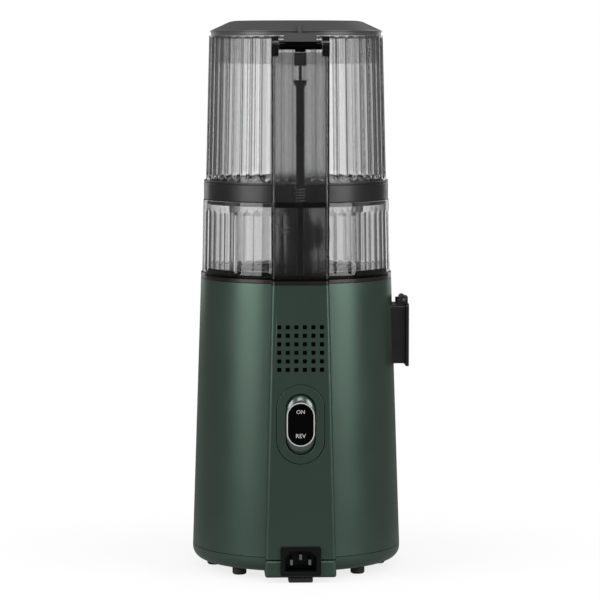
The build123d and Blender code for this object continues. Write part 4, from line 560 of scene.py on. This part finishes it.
# %% Flutes
REEDS_PER_FLUTE = 3
OUTER_SKIN = 0.2


def press_flutes(bm, wall, count, depth, low, high, run_out, reed=0.0):
    """Press upright hollows between two heights, in millimetres, into a turned wall, with reeds in them."""
    pressed = 0
    for point in bm.verts:
        radius, height = hypot(point.co.x, point.co.y), point.co.z / MM
        if radius < (wall(height) - OUTER_SKIN) * MM:
            continue
        across = 2 * ((atan2(point.co.y, point.co.x) * count / tau) % 1.0) - 1
        beyond = max((low - height) / run_out[0], (height - high) / run_out[1], 0)
        shallow = max(0.0, 1 - across ** 2 - beyond ** 2)
        wave = (1 - cos(REEDS_PER_FLUTE * tau / 2 * (across + 1))) / 2
        hollow = MM * (depth * shallow + reed * wave * min(1, 3 * shallow))
        point.co.x *= 1 - hollow / radius
        point.co.y *= 1 - hollow / radius
        pressed += hollow > 0
    print("pressed", pressed, "points")


def tapered(bottom_radius, top_radius, bottom, top):
    """Radius of a tapered wall as a function of height."""
    return lambda height: bottom_radius + (top_radius - bottom_radius) * (height - bottom) / (top - bottom)


# %% Hopper tube
HOPPER_FLUTES, STEPS_PER_FLUTE = 50, 16
SPIGOT_FOOT_Z, SPIGOT_RADIUS = 298.0, 69.6
hopper_wall = tapered(HOPPER_SEAT_RADIUS, HOPPER_TOP_RADIUS, HOPPER_SEAT_Z, HOPPER_TOP_Z)
hopper_bore = HOPPER_SEAT_RADIUS - CLEAR_WALL
seat = HOPPER_SEAT_Z + 0.1
# Rows of points up the wall, close together where the flutes die out.
levels = [306.4, 307.2, 308, 308.8, 309.6, 310.6, 328, 350, 372, 394,
          412.4, 414.8, 415.2, 415.6, 416.0, 416.4]
bm = bmesh.new()
draw_outline(bm, [(hopper_bore, SPIGOT_FOOT_Z, 0), (SPIGOT_RADIUS, SPIGOT_FOOT_Z, 0.4),
                  (SPIGOT_RADIUS, seat, 0), (HOPPER_SEAT_RADIUS, seat, 0)]
             + [(hopper_wall(z), z, 0) for z in levels]
             + [(HOPPER_TOP_RADIUS, HOPPER_TOP_Z, 0.3), (HOPPER_TOP_RADIUS - CLEAR_WALL, HOPPER_TOP_Z, 0.3),
                (hopper_bore, HOPPER_SEAT_Z, 0)])
turn(bm, HOPPER_FLUTES * STEPS_PER_FLUTE)
press_flutes(bm, hopper_wall, HOPPER_FLUTES, depth=0.7, low=310.2, high=415.0, run_out=(3.6, 1.2), reed=0.16)
make_piece("hopper_tube", bm, smoked, "hopper", ["hopper_body"], crease=30)

# %% [markdown]
# ## The drum
# The drum has plain, shallower flutes, a smooth band at its top, and inside it a plain sleeve that guides the
# produce onto the auger. Below the ledge its bowl drops into the base, out of sight until it is lifted out.
# The upper part is turned, and the bowl with its two ducts is the frame's own, cut off just under the ledge.

# %% Drum
DRUM_FLUTES, DRUM_STEPS_PER_FLUTE = 54, 8
SLEEVE_BORE, SLEEVE_RADIUS, SLEEVE_TOP_Z = 50.5, 53.0, 286.0
DRUM_FLOOR_Z, DRUM_FLOOR_RADIUS = LEDGE_Z + 3.0, 71.2
DRUM_CUT_Z = LEDGE_Z - 0.1
drum_wall = tapered(DRUM_LEDGE_RADIUS, DRUM_TOP_RADIUS, LEDGE_Z, DRUM_TOP_Z)
levels = [234.2, 235, 235.8, 236.6, 237.6, 250, 264, 279.4, 280.4, 281.2, 282, 282.8]
bm = merged_copy("drum_body")
cut_level(bm, DRUM_CUT_Z, drop_above=True)
bmesh.ops.bridge_loops(bm, edges=[e for e in bm.edges if e.is_boundary])
upper = bmesh.new()
draw_outline(upper, [(DRUM_LEDGE_RADIUS, LEDGE_Z, 0.4)]
             + [(drum_wall(z), z, 0) for z in levels]
             + [(DRUM_TOP_RADIUS, DRUM_TOP_Z, 0.6), (DRUM_TOP_RADIUS - CLEAR_WALL, DRUM_TOP_Z, 0.5),
                (DRUM_FLOOR_RADIUS, DRUM_FLOOR_Z, 1.2), (SLEEVE_RADIUS, DRUM_FLOOR_Z, 1.2),
                (SLEEVE_RADIUS, SLEEVE_TOP_Z, 0.8), (SLEEVE_BORE, SLEEVE_TOP_Z, 0.8),
                (SLEEVE_BORE, LEDGE_Z, 0)])
turn(upper, DRUM_FLUTES * DRUM_STEPS_PER_FLUTE)
press_flutes(upper, drum_wall, DRUM_FLUTES, depth=0.4, low=238.0, high=279.0, run_out=(3.6, 3.6))
upper_mesh = bpy.data.meshes.new("drum_upper")
upper.to_mesh(upper_mesh)
upper.free()
bm.from_mesh(upper_mesh)
bpy.data.meshes.remove(upper_mesh)
make_piece("drum", bm, smoked, "drum", ["drum_body"], crease=30)

# %% [markdown]
# ## Collar
# A satin black band joins hopper and drum. A fine groove runs round it just under its top edge. Its skirt
# stands inside the drum's rim, the hopper's foot stands in its seat, and its inside narrows to a funnel.

# %% Collar
COLLAR_FOOT_Z = DRUM_TOP_Z + 0.1
SKIRT_BORE, SKIRT_RADIUS, SKIRT_FOOT_Z = 67.2, 69.6, 286.5
GROOVE_Z, GROOVE_HALF, GROOVE_DEPTH = 303.05, 0.15, 0.35
FUNNEL_MOUTH_RADIUS = 66.2
FUNNEL_RADIUS, FUNNEL_TOP_Z, FUNNEL_UNDER_Z = 30.0, 296.0, 291.5
SEAT_RADIUS, SEAT_FLOOR_Z = SPIGOT_RADIUS + 0.1, SPIGOT_FOOT_Z - 0.1
groove_radius = COLLAR_RADIUS - GROOVE_DEPTH
bm = bmesh.new()
draw_outline(bm, [(SKIRT_RADIUS, SKIRT_FOOT_Z, 0.4), (SKIRT_RADIUS, COLLAR_FOOT_Z, 0),
                  (COLLAR_RADIUS, COLLAR_FOOT_Z, 0.5), (COLLAR_RADIUS, GROOVE_Z - 3 * GROOVE_HALF, 0.25),
                  (groove_radius, GROOVE_Z - GROOVE_HALF, 0), (groove_radius, GROOVE_Z + GROOVE_HALF, 0),
                  (COLLAR_RADIUS, GROOVE_Z + 3 * GROOVE_HALF, 0.25),
                  (COLLAR_RADIUS, HOPPER_SEAT_Z, 0.5), (SEAT_RADIUS, HOPPER_SEAT_Z, 0.2),
                  (SEAT_RADIUS, SEAT_FLOOR_Z, 0), (FUNNEL_MOUTH_RADIUS, SEAT_FLOOR_Z, 1.5),
                  (FUNNEL_RADIUS, FUNNEL_TOP_Z, 1.8), (FUNNEL_RADIUS, FUNNEL_UNDER_Z, 0.6),
                  (SKIRT_BORE, FUNNEL_UNDER_Z, 1.0), (SKIRT_BORE, SKIRT_FOOT_Z, 0.4)])
turn(bm)
make_piece("collar", bm, satin_black, "hopper", ["hopper_collar"])

# %% [markdown]
# ## Lid
# The lid is a shallow cap with a flat crown, a long slope down to a thin rim, and a softly rounded edge
# between them. Its smoked liner hangs down inside the hopper and centres the lid. The liner's top band, which
# shows between rim and hopper, is charcoal like the cap.

# %% Lid cover
CROWN_RADIUS, CROWN_UNDER_Z = 50.5, 426.8
bm = bmesh.new()
draw_outline(bm, [(0, LID_TOP_Z, 0), (CROWN_RADIUS, LID_TOP_Z, 3.0), (66.5, LID_RIM_Z, 0.8),
                  (LID_RADIUS, LID_RIM_Z - 0.5, 0.3), (LID_RADIUS, LID_BASE_Z, 0.3), (62.9, LID_BASE_Z, 0.3),
                  (49.4, CROWN_UNDER_Z, 2.0), (0, CROWN_UNDER_Z, 0)], closed=False)
turn(bm)
make_piece("lid_cap", bm, lid_plastic, "lid", ["lid_cover"])

# %% Lid liner
LINER_FOOT_Z, LINER_SEAT_Z, BAND_Z = 396.0, 417.6, 417.7
bm = bmesh.new()
draw_outline(bm, [(66.5, LINER_SEAT_Z, 0.4), (66.5, LID_BASE_Z, 0.2), (61.2, LID_BASE_Z, 0),
                  (60.2, LINER_FOOT_Z, 0.5), (62.4, LINER_FOOT_Z, 0.5), (63.4, LINER_SEAT_Z, 0.6)])
turn(bm)
skirt = make_piece("lid_skirt", bm, smoked, "lid", ["lid_liner"])
second_finish(skirt, lid_plastic, BAND_Z, above=True)

# %% [markdown]
# ## Hinge arm and trim ring
# The arm comes down from the lid's rim to a barrel on the hinge pin. Its upper part is charcoal like the lid,
# and the barrel that turns between the spine's lugs is glossy black. The trim ring is bronze, and its thin
# lip that carries the drum is painted black as painted shade, for the shadow in the gap between drum and
# ring.
# Each of the two is one piece, cut at that line to wear two finishes.


# %% Pieces in two finishes
def two_tone(node, body, height, upper_finish, lower_finish):
    """Stand in for a piece with an eased copy that changes its finish at a height in millimetres."""
    bm = merged_copy(node)
    cut_level(bm, height)
    piece = make_piece(node + "_eased", bm, upper_finish, body, [node], SHARP_EDGE)
    second_finish(piece, lower_finish, height, above=False)
    round_edges(piece, 0.35)


# Heights where the finish changes: the barrel's glossy black, and the painted shade on the trim ring's top
# lip.
BARREL_TOP_Z, RING_PAINTED_SHADE_Z = 412.6, 231.2
two_tone("lid_hinge_arm", "lid", BARREL_TOP_Z, lid_plastic, gloss_black)
# Above this height the trim ring is gloss black: painted shade for the shadow in the gap under the drum.
two_tone("trim_ring", "base", RING_PAINTED_SHADE_Z, gloss_black, bronze_trim)

# %% [markdown]
# ## Spine, shell and spouts
# These pieces have their true form already, so each gets only eased corners: fine ones on thin walls, wider
# ones on the spouts, and soft ones on the rubber feet. The two spines are clear but frosted, which veils what
# lies behind them. The shell keeps all its small faces, so that its long highlights stay smooth.

# %% Ease the outside pieces
ease("hopper_spine", 0.35, "hopper", frosted_smoke)
ease("drum_spine", 0.35, "drum", dark_frost)
ease("interlock_pusher", 0.4, "interlock_rod")
ease("body_shell", 0.3, "base", flatten=False)
ease("base_cover", 0.3, "base")
# The inlet's extra-dark black is painted shade for its recess.
ease("inlet_housing", 0.4, "base", inlet_black_painted_shade)
ease("pulp_spout", 0.5, "base")
ease("pulp_flap", 0.5, "pulp_flap")
ease("juice_spout", 0.6, "base")
ease("juice_cap", 0.5, "juice_cap")
ease("rubber_feet", 1.3, "base", segments=3)

# %% [markdown]
# ## The rocker switch
# The switch lies on the panel, which leans back a little, so it is modelled flat and then laid on that slope.
# Its key is a long oval whose two ends fall away in a slope. The upper slope mirrors the softboxes as bright
# patches. A gloss black window sits in the middle in a thin bright ring, and tells what each end does.

# %% Places on the leaning panel
PANEL_TOP, PANEL_FACE = 228.0, 85.0
PANEL_LEAN = 4.0 / 224.0
SWITCH_HEIGHT = 122.0


def on_panel(height):
    """Matrix that lays a flat shape, drawn in millimetres, on the panel's face at a height."""
    up = Vector((0, -PANEL_LEAN, 1)).normalized()
    out = Vector((0, 1, PANEL_LEAN)).normalized()
    across = up.cross(out)
    place = Vector((0, PANEL_FACE + (PANEL_TOP - height) * PANEL_LEAN, height)) * MM
    return Matrix.Translation(place) @ Matrix((across, up, out)).transposed().to_4x4() @ Matrix.Scale(MM, 4)


# %% Switch plate, a little smaller than its opening so that a dark line runs round it
PLATE_WIDTH, PLATE_HEIGHT, PLATE_GAP = 37.0, 61.0, 0.35
bm = merged_copy("switch_plate")
shrink = Matrix.Diagonal((1 - 2 * PLATE_GAP / PLATE_WIDTH, 1, 1 - 2 * PLATE_GAP / PLATE_HEIGHT, 1))
centre = Matrix.Translation((0, 0, SWITCH_HEIGHT * MM))
bm.transform(centre @ shrink @ centre.inverted())
plate = make_piece("switch_surround", bm, paint, "base", ["switch_plate"])
round_edges(plate, 0.35)


# %% Rocker key
OVAL_STEPS = 72
# Width, height and level of each ring, from the hidden back over the sloping ends to the sunk window.
KEY_RINGS = [(22.4, 46.2, -6.5), (22.4, 46.2, -3.4), (22.3, 45.6, -2.2), (22.2, 42.0, -1.0),
             (22.0, 38.4, 0.1), (21.7, 34.5, 1.0), (21.4, 33.7, 0.9), (21.4, 33.7, -0.6)]


def oval(bm, width, height, level):
    """Upright oval ring of points: a circle whose halves are moved apart."""
    half_step = Matrix.Rotation(tau / OVAL_STEPS / 2, 4, "Z")
    ring = bmesh.ops.create_circle(bm, segments=OVAL_STEPS, radius=width / 2, matrix=half_step)
    for point in ring["verts"]:
        point.co.y += (height - width) / 2 * (1 if point.co.y > 0 else -1)
        point.co.z = level
    return [edge for edge in bm.edges if edge.verts[0] in ring["verts"] and edge.verts[1] in ring["verts"]]


bm = bmesh.new()
rings = [oval(bm, *ring) for ring in KEY_RINGS]
for lower, upper in zip(rings, rings[1:]):
    bmesh.ops.bridge_loops(bm, edges=lower + upper)
for ring in (rings[0], rings[-1]):
    bmesh.ops.edgeloop_fill(bm, edges=ring)
bmesh.ops.recalc_face_normals(bm, faces=bm.faces)
bm.transform(on_panel(SWITCH_HEIGHT))
make_piece("rocker_key", bm, key_paint, "rocker", ["rocker_button"], crease=40)


# %% Lettering on the rocker
LETTER_LIFT = 0.93
LETTER_THINNING = 0.035
PRINT_THICKNESS = 0.02
LETTER_WELD = 0.0005


def lettering(name, words, size, height):
    """Short words printed on the rocker's window."""
    curve = bpy.data.curves.new(name + "_outline", "FONT")
    curve.body = words
    curve.size = size
    curve.align_x, curve.align_y = "CENTER", "CENTER"
    curve.extrude = PRINT_THICKNESS
    curve.offset = -LETTER_THINNING
    holder = bpy.data.objects.new(name + "_outline", curve)
    flat = bpy.data.meshes.new_from_object(holder)
    bm = bmesh.new()
    bm.from_mesh(flat)
    bmesh.ops.remove_doubles(bm, verts=bm.verts, dist=LETTER_WELD)
    bmesh.ops.translate(bm, verts=bm.verts, vec=(0, height - SWITCH_HEIGHT, LETTER_LIFT))
    bm.transform(on_panel(SWITCH_HEIGHT))
    bpy.data.objects.remove(holder)
    bpy.data.curves.remove(curve)
    bpy.data.meshes.remove(flat)
    make_piece(name, bm, print_ink, "rocker")


lettering("on_mark", "ON", 4.2, 131.5)
lettering("reverse_mark", "REV", 4.6, 113.1)
